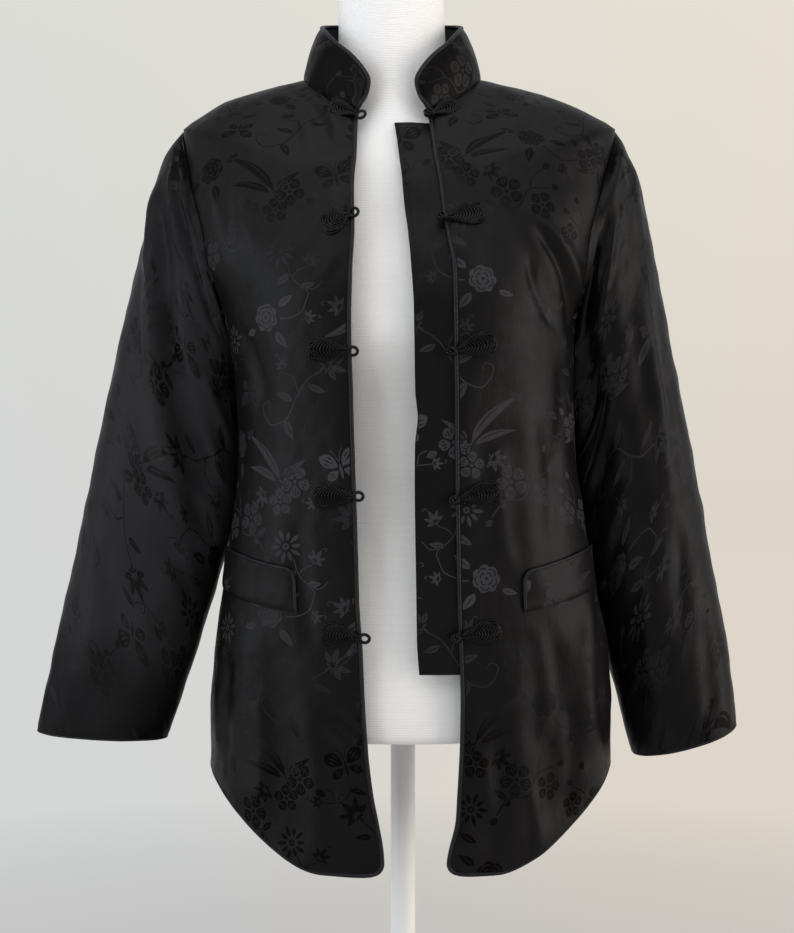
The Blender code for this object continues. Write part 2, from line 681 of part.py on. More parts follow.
def make_sleeve(name, side, table, folds):
    """A sleeve from its armhole loop through its rings to the cuff."""
    loop, loop_normals = armhole_loop(side, SLEEVE_SIDES)
    loop = loop + np.array((side * ARMHOLE_GAP, 0.0, 0.0))
    knots = np.concatenate([[0.0], column(table, 0)])
    rings = np.stack([loop] + [sleeve_ring(row, side, SLEEVE_SIDES) for row in table])
    down = np.concatenate([[0.0, 0.035, 0.08], np.linspace(0.14, 1.0, SLEEVE_ROWS - 3)])
    grid = smooth_through(knots, rings, down)
    normals = grid_normals(grid, True) * side
    middle = grid.mean(axis=1, keepdims=True)
    if (normals * (grid - middle)).sum() < 0:
        normals = -normals
    grid = sleeve_folds(grid, normals, down, folds)
    share = (1 + np.cos(np.arange(SLEEVE_SIDES) * 2 * np.pi / SLEEVE_SIDES)) / 2
    blend = np.clip(5.0 * share, 0.0, 1.0)[:, None]
    normals[0] = unit(blend * loop_normals + (1 - blend) * normals[0])
    wall = np.full((len(grid), 1, 1), CLOTH_WALL)
    wall[0] = ARMHOLE_WALL
    inner = grid - normals * wall
    add_sheet(name, "cloth", grid, inner, closed=True)
    return grid, normals


def make_sleeves():
    """Both sleeves with the fine cord round their cuffs."""
    for name, side, table, folds in (
            ("right", -1, SLEEVE_RIGHT, SLEEVE_FOLDS_RIGHT),
            ("left", 1, SLEEVE_LEFT, SLEEVE_FOLDS_LEFT)):
        grid, normals = make_sleeve("sleeve_" + name, side, table, folds)
        ahead = unit(grid[-1] - grid[-2])
        centre = (grid[-1] - normals[-1] * CLOTH_WALL / 2
                  + ahead * (FINE_EDGE / 2 + SEAM_GAP))
        add_ring_tube("piping_cuff_" + name, "cord", centre, FINE_EDGE / 2, 6,
                      np.broadcast_to(normals[-1], centre.shape))


# ---------------------------------------------------------------- collar
def collar_lines(columns):
    """Base and top lines of the collar, from the right corner round to the left one."""
    start = turn_for_x(COLLAR_BASE_EDGE + BOUND_EDGE + SEAM_GAP, LEVELS[-1])
    base = []
    top = []
    for share in np.linspace(-1.0, 1.0, columns):
        side = -1.0 if share < 0 else 1.0
        reach = 1.0 - abs(share)
        base.append(body_surface(side * (start + (180.0 - start) * reach), LEVELS[-1]))
        x, y, z = (float(smooth_through(column(COLLAR_TOP, 0), column(COLLAR_TOP, k), reach))
                   for k in (1, 2, 3))
        top.append((side * x, y, z))
    return np.array(base), np.array(top)


def collar_surface(columns, rows):
    """Grid of the collar's outer points and its outward normals."""
    base, top = collar_lines(columns)
    lines = []
    for row in range(rows):
        share = row / (rows - 1)
        line = base + (top - base) * share
        outward = unit(line * (1.0, 1.0, 0.0))
        rise = np.array((0.0, 0.0, 2 * SEAM_GAP))
        lines.append(line + outward * COLLAR_BOW * np.sin(np.pi * share) + rise)
    grid = np.stack(lines)
    normals = grid_normals(grid, False)
    if (normals * (grid * (1.0, 1.0, 0.0))).sum() < 0:
        normals = -normals
    return grid, normals


def edge_cord(name, outline, normals, radius, middle, trim=(0.0, 0.0), sides=CORD_SIDES):
    """A cord sewn along an open outline of a panel, away from the panel's middle point.

    Radius may vary along the outline. The cord is centred on the panel's wall. trim is
    how far its two ends stop short of the outline's.
    """
    radius = np.broadcast_to(np.asarray(radius, float), (len(outline),))
    outline = outline.copy()
    outline[0] += unit(outline[1] - outline[0]) * trim[0]
    outline[-1] += unit(outline[-2] - outline[-1]) * trim[1]
    ahead = unit(np.gradient(outline, axis=0))
    away = unit(np.cross(ahead, normals))
    flip = np.sign((away * (outline - middle)).sum(axis=1))
    if flip.sum() < 0:
        away = -away
    bend = 0.5 * np.linalg.norm(np.gradient(ahead, axis=0), axis=1)
    reach = (radius + SEAM_GAP) * (1 + bend)
    path = outline - normals * CLOTH_WALL / 2 + away * reach[:, None]
    return add_tube(name, "cord", path, radius, sides, normals)


def make_collar():
    """The stand collar and the corded edge along its ends and top."""
    outer, normals = collar_surface(COLLAR_COLUMNS + 1, 4)
    add_sheet("collar", "cloth", outer, outer - normals * CLOTH_WALL)
    outline = np.concatenate([outer[:, 0], outer[-1, 1:-1], outer[::-1, -1]])
    up = np.concatenate([normals[:, 0], normals[-1, 1:-1], normals[::-1, -1]])
    middle = outer[1, COLLAR_COLUMNS // 2] - np.array((0.0, 60.0, 40.0))
    edge_cord("piping_collar", outline, up, BOUND_EDGE / 2, middle, (2.5, 2.5))


# ---------------------------------------------------------------- corded edges
def make_edge_cords():
    """The corded edge of each front with its hem, and of the back hem."""
    for name, side in (("right", -1), ("left", 1)):
        turns, levels = front_grid(side, FRONT_COLUMNS)
        outer = body_surface(turns, levels)
        normals = body_normals(turns, levels)
        outline = np.concatenate([outer[::-1, 0], outer[0, 1:]])
        up = np.concatenate([normals[::-1, 0], normals[0, 1:]])
        radius = np.concatenate([np.full(len(outer), BOUND_EDGE / 2),
                                 np.full(outer.shape[1] - 1, FINE_EDGE / 2)])
        middle = outer[len(outer) // 2, FRONT_COLUMNS // 2]
        edge_cord("piping_front_" + name, outline, up, radius, middle, (6.0, 2.0))
    turns, levels = back_grid(BACK_COLUMNS)
    outer = body_surface(turns, levels)
    normals = body_normals(turns, levels)
    middle = outer[len(outer) // 2, BACK_COLUMNS // 2]
    edge_cord("piping_hem_back", outer[0], normals[0], FINE_EDGE / 2, middle, (2.0, 2.0))


# ---------------------------------------------------------------- under-placket, welts
def front_patch(corners, rows, columns):
    """Turns and levels of a patch on a front between four corners (x, z).

    The corners are inner top, outer top, outer bottom and inner bottom.
    """
    places = np.array([turn_and_level(x, z) for x, z in corners])
    across = np.linspace(0.0, 1.0, columns)[None, :, None]
    upward = np.linspace(0.0, 1.0, rows)[:, None, None]
    top = places[0] * (1 - across) + places[1] * across
    bottom = places[3] * (1 - across) + places[2] * across
    grid = bottom * (1 - upward) + top * upward
    return grid[..., 0], grid[..., 1]


def make_placket():
    """The under-placket, a flat strip sewn inside the left front."""
    rows = 17
    columns = 5
    turns = np.zeros((rows, columns))
    levels = np.zeros((rows, columns))
    for row, z in enumerate(np.linspace(PLACKET_BOTTOM, PLACKET_TOP, rows)):
        edge = float(smooth_through(column(PLACKET_EDGE, 0), column(PLACKET_EDGE, 1), z))
        for col, x in enumerate(np.linspace(edge, PLACKET_HIDDEN, columns)):
            turns[row, col], levels[row, col] = turn_and_level(x, z)
    under = -CLOTH_WALL - PLACKET_GAP
    outer = laid_on_panel(1, turns, levels, under)
    inner = laid_on_panel(1, turns, levels, under - PLACKET_WALL)
    add_sheet("under_placket", "cloth", outer, inner)


def make_welts():
    """The pocket welts and the cord along their top and inner ends."""
    for name, side, corners in (("right", -1, WELT_RIGHT), ("left", 1, WELT_LEFT)):
        turns, levels = front_patch(corners, 4, 9)
        outer = laid_on_panel(side, turns, levels, PAD_GAP + WELT_WALL)
        inner = laid_on_panel(side, turns, levels, PAD_GAP)
        add_sheet("welt_" + name, "cloth", outer, inner)
        normals = body_normals(turns, levels)
        outline = np.concatenate([outer[:, 0], outer[-1, 1:]])
        up = np.concatenate([normals[:, 0], normals[-1, 1:]])
        radius = BOUND_EDGE / 2 - 0.6
        edge_cord("piping_welt_" + name, outline, up, radius, outer[1, 3])


# ---------------------------------------------------------------- frogs
def front_point(x, z):
    """A point of a front's faces at x and z, and the outward normal there."""
    turn, level = turn_and_level(x, z)
    side = -1 if x < 0 else 1
    return panel_point(side, turn, level, 0.0), body_normals(turn, level)


def neck_point(x, z):
    """A point in the bend between front and collar at x and z, and the normal there."""
    turn = turn_for_x(x, LEVELS[-1])
    seam = body_surface(turn, LEVELS[-1])
    upright = unit(seam * (1.0, 1.0, 0.0))
    normal = unit(upright * 1.6 + body_normals(turn, LEVELS[-1]))
    rise = unit(np.cross(np.cross(normal, (0.0, 0.0, 1.0)), normal))
    return seam + rise * (z - seam[2]) + normal * NECK_FROG_LIFT, normal


def make_frog(name, place, tail, find, scale):
    """One half of a frog: a flat leaf of coiled cord that ends in a loop or a knot."""
    start = np.array((place[0], place[1]), float)
    stop = np.array((place[2], place[3]), float)
    length = np.linalg.norm(stop - start)
    ahead = (stop - start) / length
    rows = [(share * length, wide * scale, thick) for share, wide, thick in LEAF]
    rows += [(length + past, wide, thick) for past, wide, thick in tail]
    angle = np.arange(6) * np.pi / 3
    rings = []
    for distance, wide, thick in rows:
        x, z = start + ahead * min(distance, length)
        base, normal = find(x, z)
        across = unit(np.cross(normal, (ahead[0], 0.0, ahead[1])))
        onward = np.cross(across, normal)
        middle = base + onward * max(distance - length, 0.0)
        middle = middle + normal * (FROG_LIFT + thick)
        rings.append(middle + np.cos(angle)[:, None] * wide * across
                     + np.sin(angle)[:, None] * thick * normal)
    points = np.concatenate(rings)
    add_object(name, "cord", leaned(points), loft_faces(len(rings), len(angle)), smooth=True)


def make_frogs():
    """Five pairs of frogs, the top pair over the collar's seam."""
    for kind, places, tail in (("loop", FROGS_RIGHT, LOOP), ("knot", FROGS_LEFT, KNOT)):
        for number, place in enumerate(places, 1):
            find = neck_point if number == 1 else front_point
            scale = NECK_FROG_SCALE if number == 1 else 1.0
            make_frog("frog_%s_%d" % (kind, number), place, tail, find, scale)


# ---------------------------------------------------------------- dress form
def oval_ring(half, fore, aft, square, z, sides):
    """A ring of points of an oval section."""
    angle = np.arange(sides) * 2 * np.pi / sides
    power = 2.0 / square
    x = half * np.sign(np.sin(angle)) * np.abs(np.sin(angle)) ** power
    deep = np.where(np.cos(angle) > 0, fore, aft)
    y = -deep * np.sign(np.cos(angle)) * np.abs(np.cos(angle)) ** power
    return np.stack([x, y, np.full(sides, float(z))], axis=1)


def make_form():
    """The torso, its neck cap, the pole and the base."""
    rings = [oval_ring(half, fore, aft, square, z, FORM_SIDES)
             for _name, z, half, fore, aft, square in FORM]
    points = np.concatenate(rings)
    add_object("form_body", "jersey", leaned(points),
               loft_faces(len(rings), FORM_SIDES), smooth=True)
    cap = []
    for rise, share in ((0.4, 0.97), (4.0, 0.97), (8.5, 0.86), (11.0, 0.62), (12.0, 0.3)):
        cap.append(oval_ring(53 * share, 52 * share, 53 * share, 2.0,
                             FORM_NECK_TOP + rise, FORM_SIDES))
    add_object("form_neck_cap", "cap", leaned(np.concatenate(cap)),
               loft_faces(len(cap), FORM_SIDES), smooth=True)
    pole = [oval_ring(POLE_RADIUS, POLE_RADIUS, POLE_RADIUS, 2.0, z, 24)
            for z in np.linspace(POLE_FOOT, FORM_BOTTOM - SEAM_GAP, 5)]
    add_object("form_pole", "paint", np.concatenate(pole), loft_faces(5, 24), smooth=True)
    plate = []
    for z, radius in ((0, BASE_RADIUS - 2), (2, BASE_RADIUS), (BASE_HEIGHT - 4, BASE_RADIUS),
                      (BASE_HEIGHT - 1, BASE_RADIUS - 2), (BASE_HEIGHT, BASE_RADIUS - 6)):
        plate.append(oval_ring(radius, radius, radius, 2.0, z, 48))
    add_object("form_base", "paint", np.concatenate(plate), loft_faces(5, 48), smooth=True)


for thing in list(bpy.data.objects):
    bpy.data.objects.remove(thing, do_unlink=True)
make_body()
make_sleeves()
make_collar()
make_edge_cords()
make_placket()
make_welts()
make_frogs()
make_form()
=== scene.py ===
# The tang jacket and its dress form: cloth shells with creases and a woven floral figure,
# cords, frogs, jersey form, studio and camera. Lengths in the tables are in millimetres,
# x to the wearer's left, y back, z up from the floor; objects are made in metres.
import math

import bpy
import numpy as np
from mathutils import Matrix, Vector
from mathutils.geometry import delaunay_2d_cdt


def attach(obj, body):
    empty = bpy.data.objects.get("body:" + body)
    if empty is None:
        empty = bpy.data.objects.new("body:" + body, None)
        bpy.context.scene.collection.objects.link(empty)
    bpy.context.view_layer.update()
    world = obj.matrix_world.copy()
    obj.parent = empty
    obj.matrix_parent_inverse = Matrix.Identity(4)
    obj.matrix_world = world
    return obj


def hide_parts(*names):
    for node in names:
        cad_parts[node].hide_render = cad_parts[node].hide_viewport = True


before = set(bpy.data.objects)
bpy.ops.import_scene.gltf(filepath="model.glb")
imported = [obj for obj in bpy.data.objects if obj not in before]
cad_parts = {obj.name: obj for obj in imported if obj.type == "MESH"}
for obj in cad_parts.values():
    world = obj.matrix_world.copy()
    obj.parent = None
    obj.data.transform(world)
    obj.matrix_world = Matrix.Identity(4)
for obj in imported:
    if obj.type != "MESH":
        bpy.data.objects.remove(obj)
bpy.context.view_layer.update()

MM = 0.001

# ---------------------------------------------------------------- sizes
WALL = 1.6                # cloth wall
THIN_WALL, PLACKET_WALL = 1.0, 1.3      # at the sleeves' heads, and of the placket
BOUND_CORD = 2.1          # radius of the cord along fronts and collar
FINE_CORD = 1.2           # radius of the cord along cuffs and hem
FROG_CORD = 1.05          # radius of the cord of the frogs' leaves
LOOP_CORD, KNOT_CORD = 1.55, 1.35       # radii of the cords of the frogs' loops and balls
CORD_OUT = 0.9            # from the cloth's edge out to a cord's middle, in the cord's radii
FORM_BOTTOM = 600.0
LEAN = 0.016              # of the form and jacket, to the wearer's right
WAIST = 880.0             # height from which the cloth's own heights are measured
# Rows and columns of the cloth's own mesh, about 5 mm apart.
PANEL_ROWS, FRONT_COLUMNS, BACK_COLUMNS = 148, 58, 86
SLEEVE_ROWS, SLEEVE_COLUMNS, PLACKET_ROWS, PLACKET_COLUMNS = 118, 77, 105, 14
SEAM = 0.2                # from a panel's edge to the middle of the seam
CORNER = 10.0             # round corner at the bottom of each front

# ---------------------------------------------------------------- body sections
# (level, heights of front, side and back, half widths right and left, fore, aft, square)
BODY = (
    (478, 482, 573, 573, 195, 209, 112, 124, 2.5),
    (590, 590, 632, 633, 194, 211, 115, 124, 2.5),
    (672, 672, 692, 694, 188, 208, 117, 122, 2.5),
    (735, 735, 743, 736, 180, 197, 119, 117, 2.45),
    (811, 811, 813, 811, 169, 188, 122, 107, 2.4),
    (880, 880, 880, 880, 162, 179, 125, 98, 2.35),
    (930, 930, 930, 930, 163, 178, 128, 97, 2.35),
    (983, 983, 983, 984, 168, 179, 131, 100, 2.35),
    (1020, 1020, 1022, 1024, 176, 182, 132, 104, 2.35),
    (1068, 1066, 1082, 1090, 203, 206, 125, 108, 2.3),
    (1118, 1112, 1144, 1158, 217, 222, 111, 108, 2.2),
    (1165, 1160, 1208, 1206, 214, 226, 95, 98, 2.1),
    (1176, 1167, 1222, 1219, 196, 205, 90, 92, 2.1),
    (1192, 1180, 1237, 1236, 170, 176, 84, 84, 2.1),
    (1212, 1195, 1252, 1256, 125, 127, 76, 74, 2.1),
    (1232, 1206, 1260, 1272, 91, 91, 69, 66, 2.1),
)
ROWS = np.array(BODY, float)
LEVELS = ROWS[:, 0]
LEVEL_TILT = 1.7
HEM_FLAT, HEM_RISE = 0.42, 1.6
ARMHOLE_LOW, ARMHOLE_HIGH = 1022.0, 1165.0
ARMHOLE_FRONT, ARMHOLE_BACK = 27.0, 24.0

# Edge of each front from the middle: (level, right front, left front).
FRONT_EDGE = np.array((
    (478, 19.0, 38.0), (495, 19.6, 40.0), (528, 24.2, 48.0), (555, 28.8, 50.0),
    (604, 33.5, 53.5), (650, 35.6, 54.6), (690, 36.6, 54.0), (740, 39.1, 53.0),
    (830, 40.2, 52.8), (915, 41.6, 53.0), (1000, 42.0, 53.2), (1050, 40.2, 53.0),
    (1090, 38.8, 48.5), (1130, 37.6, 43.0), (1165, 36.0, 38.5), (1232, 33.8, 33.6)), float)

# Large folds of the body, in front view: (x, z) to (x, z), half width and height.
FOLDS_FRONT = (
    (112, 1096, 150, 1016, 14, -3.0), (118, 905, 126, 760, 16, 2.5),
    (168, 690, 176, 570, 20, 4.0), (139, 690, 142, 540, 20, -3.5),
    (106, 680, 106, 520, 20, 3.0), (-176, 1150, -168, 1086, 12, 3.0),
    (-112, 900, -118, 780, 16, 2.0), (-150, 685, -156, 560, 20, 3.0),
    (-118, 680, -116, 520, 20, -2.5), (-92, 1010, -92, 985, 46, 5.0),
    (96, 1010, 96, 985, 46, 5.0),
)
FOLDS_BACK = (
    (0, 960, 0, 830, 34, -4.0), (-95, 1120, -92, 1040, 40, 4.0),
    (98, 1120, 96, 1040, 40, 4.0), (-118, 930, -126, 770, 18, 3.0),
    (112, 900, 122, 740, 18, 3.0), (-92, 740, -98, 573, 20, 4.0),
    (84, 740, 92, 573, 20, 4.0), (-6, 720, -10, 573, 24, 3.0),
)
# Finer creases that fade out at both ends; the last value is how far one bows sideways.
CREASES_FRONT = (
    (138, 1092, 172, 1002, 6, -5.8, 9), (150, 1094, 184, 1010, 7, 4.4, 9),
    (128, 1060, 150, 1005, 5, -3.1, -5), (160, 960, 150, 860, 8, -3.1, 4),
    (96, 880, 104, 770, 9, 2.7, -4), (140, 900, 146, 800, 8, -2.7, 3),
    (132, 706, 136, 613, 9, 3.7, 4), (186, 742, 182, 604, 9, 4.1, -5),
    (160, 640, 158, 540, 8, -3.7, 4), (88, 640, 84, 500, 10, -2.7, 5),
    (74, 600, 90, 520, 8, 2.4, -4), (120, 560, 128, 500, 7, 3.1, 3),
    (-159, 1165, -152, 1066, 11, -2.5, -6), (-142, 1160, -138, 1080, 10, 1.7, -5),
    (-96, 1244, -62, 1176, 7, -3.1, 4), (-74, 1234, -52, 1180, 6, 2.5, 3),
    (-120, 1236, -92, 1170, 8, -2.7, 6), (104, 1240, 84, 1180, 8, -2.5, -4),
    (132, 1232, 112, 1166, 8, 2.5, -5), (-150, 1000, -128, 930, 8, -3.1, 5),
    (-96, 820, -84, 700, 9, -2.4, -4), (-64, 632, -36, 604, 4, -3.7, 2),
    (-74, 620, -44, 596, 4, 2.7, 2), (-60, 560, -30, 520, 6, 2.4, -3),
    (-138, 640, -140, 540, 8, 3.4, 4), (-168, 680, -172, 590, 8, -3.7, -3),
    (-92, 640, -86, 500, 10, 2.7, 5), (-58, 1130, -62, 1050, 9, 2.2, 4),
    (66, 1150, 76, 1060, 9, -2.2, 4), (70, 960, 66, 850, 10, 1.7, -3),
)
CREASES_BACK = (
    (-150, 1120, -122, 1020, 8, -2.6, 8), (146, 1126, 120, 1016, 8, -2.6, -8),
    (-134, 1112, -108, 1030, 8, 2.0, 7), (130, 1118, 108, 1028, 8, 2.0, -7),
    (-60, 930, 20, 905, 8, -1.8, 6), (10, 890, 74, 862, 8, -1.8, -5),
    (-74, 880, -12, 868, 7, 1.6, -4), (-50, 720, -56, 580, 9, -2.2, 5),
    (44, 730, 40, 580, 9, -2.2, -5), (130, 720, 138, 590, 9, -2.4, 5),
    (-134, 730, -142, 590, 9, -2.4, -4), (-40, 1200, -30, 1120, 9, -1.2, 3),
    (36, 1206, 30, 1110, 9, 1.2, -3), (0, 1180, 4, 1040, 12, 1.0, 3),
)

# ---------------------------------------------------------------- sleeves
# (share down, outer x, y, z, inner x, y, z, half depth, drop of the front)
SLEEVES = {
    "right": np.array((
        (0.040, 228, 0, 1190, 177, 6, 1012, 57, 0), (0.090, 241, 2, 1164, 171.5, 14, 994, 60, 0),
        (0.200, 258, 5, 1098, 165.5, 28, 965, 58, 0), (0.320, 277, 8, 1026, 162.5, 36, 930, 55, 0),
        (0.450, 298, 9, 939, 162.5, 38, 878, 53, 0), (0.590, 316, 9, 855, 170, 34, 817, 51, 0),
        (0.725, 335, 8, 769, 186, 26, 758, 47, 2), (0.860, 355, 6, 684, 212, 16, 674, 40, 3),
        (1.000, 374, 2, 600, 240, 6, 592, 30, 4)), float),
    "left": np.array((
        (0.040, 236, 0, 1192, 184, 6, 1012, 57, 0), (0.090, 249, 2, 1164, 181.5, 14, 994, 60, 0),
        (0.200, 263, 5, 1093, 178.5, 27, 960, 61, 0), (0.320, 277, 8, 1016, 177.5, 36, 920, 60, 0),
        (0.450, 292, 9, 934, 178.5, 42, 868, 59, 0), (0.590, 306, 9, 853, 191, 44, 807, 57, 2),
        (0.725, 319, 9, 771, 203, 45, 740, 54, 6), (0.860, 333, 7, 689, 217, 42, 664, 50, 10),
        (1.000, 342, 3, 606, 236, 24, 576, 42, 14)), float),
}
SLEEVE_SQUARE = 2.15
SLEEVE_LENGTH = 620.0
SLEEVE_RADIUS = 58.0
# Sleeve creases: (share down, turn) to (share down, turn), half width, height; turn is in
# degrees, 0 outer, 90 front, 180 inner, 270 back.
CREASES_SLEEVE = {
    "right": (
        (0.15, 24, 0.60, 100, 9, 8.5), (0.17, 44, 0.62, 122, 11, -10.0),
        (0.62, 40, 0.92, 70, 16, 3.4), (0.25, 250, 0.60, 300, 18, 4.6),
        (0.20, 30, 0.30, 64, 6, -5.4), (0.29, 62, 0.42, 100, 6, -5.8),
        (0.41, 98, 0.57, 126, 6, -5.1), (0.34, 104, 0.44, 138, 5, 4.1),
        (0.38, 88, 0.50, 128, 5, 3.7), (0.45, 92, 0.56, 140, 5, -4.1),
        (0.50, 84, 0.60, 128, 6, 3.7), (0.55, 90, 0.66, 140, 6, -4.1),
        (0.61, 82, 0.72, 126, 6, 3.4), (0.66, 96, 0.78, 136, 6, -3.4),
        (0.08, 70, 0.20, 108, 6, -4.4), (0.05, 40, 0.16, 72, 7, 3.7),
        (0.12, 10, 0.24, 28, 9, 3.4), (0.70, 54, 0.84, 84, 8, -3.1),
        (0.78, 96, 0.92, 112, 8, 2.7), (0.84, 30, 0.97, 38, 9, -2.4),
        (0.30, 225, 0.44, 262, 7, -4.8), (0.42, 216, 0.56, 256, 7, 4.4),
        (0.50, 232, 0.62, 272, 7, -4.4), (0.10, 300, 0.24, 268, 8, -4.1),
        (0.66, 250, 0.84, 280, 9, 3.4), (0.60, 300, 0.76, 318, 9, -3.1)),
    "left": (
        (0.24, 40, 0.62, 52, 11, 4.4), (0.14, 80, 0.58, 76, 14, 3.6),
        (0.16, 112, 0.54, 112, 14, -7.0),
        (0.55, 66, 0.92, 92, 16, 3.4), (0.25, 300, 0.62, 262, 18, 4.6),
        (0.05, 96, 0.18, 118, 6, -5.4), (0.08, 74, 0.22, 96, 7, 4.4),
        (0.17, 128, 0.34, 138, 6, 4.4), (0.30, 96, 0.44, 132, 6, -4.1),
        (0.38, 88, 0.52, 124, 6, 3.7), (0.46, 96, 0.58, 136, 6, -4.4),
        (0.54, 84, 0.66, 120, 6, 3.7), (0.60, 98, 0.74, 132, 7, -3.7),
        (0.28, 52, 0.46, 46, 9, 3.4), (0.36, 30, 0.56, 36, 10, -2.7),
        (0.66, 50, 0.82, 66, 8, -3.1), (0.72, 86, 0.90, 104, 8, 3.1),
        (0.82, 40, 0.96, 54, 9, -2.7), (0.06, 30, 0.18, 46, 9, -2.7),
        (0.30, 225, 0.44, 254, 7, -4.8), (0.44, 222, 0.58, 258, 7, 4.4),
        (0.52, 236, 0.66, 270, 7, -4.1), (0.10, 306, 0.26, 276, 8, -4.1),
        (0.68, 250, 0.86, 276, 9, 3.4)),
}

# ---------------------------------------------------------------- collar
COLLAR_BASE_EDGE = 33.8
COLLAR_BOW = 3.5
COLLAR_TOP = np.array((
    (0.00, 27.0, -73, 1228), (0.04, 24.5, -74, 1241), (0.09, 28, -72, 1249.5),
    (0.18, 42, -65, 1268), (0.28, 58, -52, 1284), (0.40, 71, -24, 1304),
    (0.50, 74, 0, 1313), (0.62, 71, 22, 1320), (0.78, 50, 46, 1327),
    (0.90, 24, 57, 1330), (1.00, 0, 60, 1331)), float)

# ---------------------------------------------------------------- frogs, welts, placket
FROGS = {
    "loop": ((-60, 1221, -35, 1210), (-69, 1092, -45, 1103), (-83, 977, -47, 975),
             (-82, 838, -44.5, 839), (-77, 709, -41, 706)),
    "knot": ((61, 1223, 38, 1211), (86, 1111, 52, 1102), (92, 985, 57, 976),
             (95, 845, 58, 837), (94, 713, 58, 707)),
}
LEAF = np.array(((0.0, 3.0), (0.10, 8.2), (0.34, 10.8), (0.60, 9.2), (0.82, 5.6),
                 (1.0, 2.4)), float)
WELTS = {"right": ((-102, 768), (-173, 785), (-174, 744), (-101, 729)),
         "left": ((117, 766), (189, 786), (189, 747), (119, 729))}
PLACKET_EDGE = np.array((
    (672, 16), (700, 14.5), (740, 14.5), (824, 14.5), (886, 15.5), (913, 18.5),
    (940, 16.5), (1015, 16.5), (1050, 15), (1090, 12.4), (1120, 9), (1160, 6),
    (1206, 1)), float)
PLACKET_HIDDEN, PLACKET_TOP, PLACKET_BOTTOM = 80.0, 1204.0, 670.0
PLACKET_DEPTH = 3.6       # below the left front's face
WELT_CORNER = 8.0         # round inner corner of a welt
WELT_CORD = 1.6
RIB_PITCH = 2.9           # between the cords of a frog's leaf
SLEEVE_SEAM = 205.0       # turn at which a sleeve is cut, under the arm
# Creases of the collar: (share of the way from the right to the left, width, height,
# where it starts and ends between the seam and the top).
COLLAR_CREASES = ((-0.84, 0.030, -1.0, -0.2, 1.2), (-0.72, 0.040, 1.1, -0.2, 1.1),
                  (-0.58, 0.035, -0.9, 0.0, 1.2), (0.86, 0.030, -1.0, -0.2, 1.1),
                  (0.74, 0.040, 1.1, -0.2, 1.2), (0.60, 0.035, -0.9, -0.2, 1.0),
                  (-0.2, 0.05, 0.8, 0.0, 1.0), (0.16, 0.05, -0.7, 0.0, 1.0))
# Where the figure's repeat starts on each panel, (across, up).
FIGURE_START = {"front_right": (-12.0, 470.0), "front_left": (-60.0, 505.0),
                "back": (0.0, 490.0),
                "sleeve_right": (30.0, 20.0), "sleeve_left": (-20.0, 66.0),
                "collar": (12.0, -44.0), "under_placket": (-60.0, 505.0),
                "welt_right": (0.0, -20.0), "welt_left": (-80.0, -96.0)}
# Background colours on the left and on the right, at eye level and high up; they paint window light
# on the backdrop, cooler on the left, warmer on the right and paler high up.
BACKDROP_LEVEL = ((0.66, 0.67, 0.67), (0.73, 0.665, 0.58))
BACKDROP_HIGH = ((0.71, 0.72, 0.68), (0.80, 0.745, 0.65))

# ---------------------------------------------------------------- dress form
# (height, half width, fore, aft, square)
FORM = np.array((
    (600, 152, 92, 100, 2.2), (606, 160, 99, 108, 2.2), (640, 165, 101, 113, 2.2),
    (700, 160, 98, 108, 2.2), (760, 145, 92, 95, 2.2), (850, 119, 86, 80, 2.2),
    (920, 127, 92, 84, 2.2), (1000, 148, 114, 92, 2.2), (1050, 158, 108, 97, 2.3),
    (1110, 172, 92, 98, 2.4), (1160, 181, 78, 88, 2.4), (1190, 184, 64, 74, 2.3),
    (1208, 182, 50, 60, 2.2), (1223, 174, 38, 50, 2.0), (1235, 157, 30, 44, 2.0),
    (1244, 132, 28, 44, 2.0), (1252, 98, 34, 48, 2.0), (1266, 68, 47, 54, 2.0),
    (1290, 55, 51, 54, 2.0), (1366, 53, 52, 53, 2.0)), float)
# How far the throat stands out of those ovals: (height, reach).
THROAT = np.array(((1110, 0.0), (1160, 2.0), (1190, 6.0), (1208, 15.0), (1223, 23.0),
                   (1235, 28.0), (1244, 28.0), (1252, 20.0), (1266, 5.0), (1290, 0.0)))
THROAT_HALF = 38.0
# The neck's cap above the jersey: (height over it, share of the neck's width).
NECK_CAP = ((0.3, 0.965), (1.0, 0.985), (4.0, 0.985), (6.5, 0.95), (8.8, 0.86),
            (10.6, 0.70), (11.6, 0.5), (12.0, 0.25))
# The base with its rounded edges: (height, radius).
BASE_PLATE = ((0.0, 168.0), (0.6, 169.4), (2.0, 170.0), (8.0, 170.0), (9.6, 169.4),
              (11.0, 167.8), (11.8, 165.4), (12.0, 163.0))

# ---------------------------------------------------------------- studio sizes
CAMERA = (-0.006, -1.5, 0.867)
VIEW_HEIGHT = 0.95204       # metres seen from bottom to top at the form's middle
FLOOR_RADIUS = 14.0         # metres


# ---------------------------------------------------------------- small mathematics
def unit(vectors):
    size = np.linalg.norm(vectors, axis=-1, keepdims=True)
    return vectors / np.maximum(size, 1e-9)


def tangents(knots, values):
    """Slopes of a monotone cubic curve; the knots run along the second last axis."""
    slope = np.diff(values, axis=-2) / np.diff(knots)[:, None]
    inside = slope[..., :-1, :] * slope[..., 1:, :]
    total = slope[..., :-1, :] + slope[..., 1:, :]
    safe = np.where(np.abs(total) < 1e-12, 1.0, total)
    middle = np.where(inside > 0, 2 * inside / safe, 0.0)
    return np.concatenate([slope[..., :1, :], middle, slope[..., -1:, :]], axis=-2)


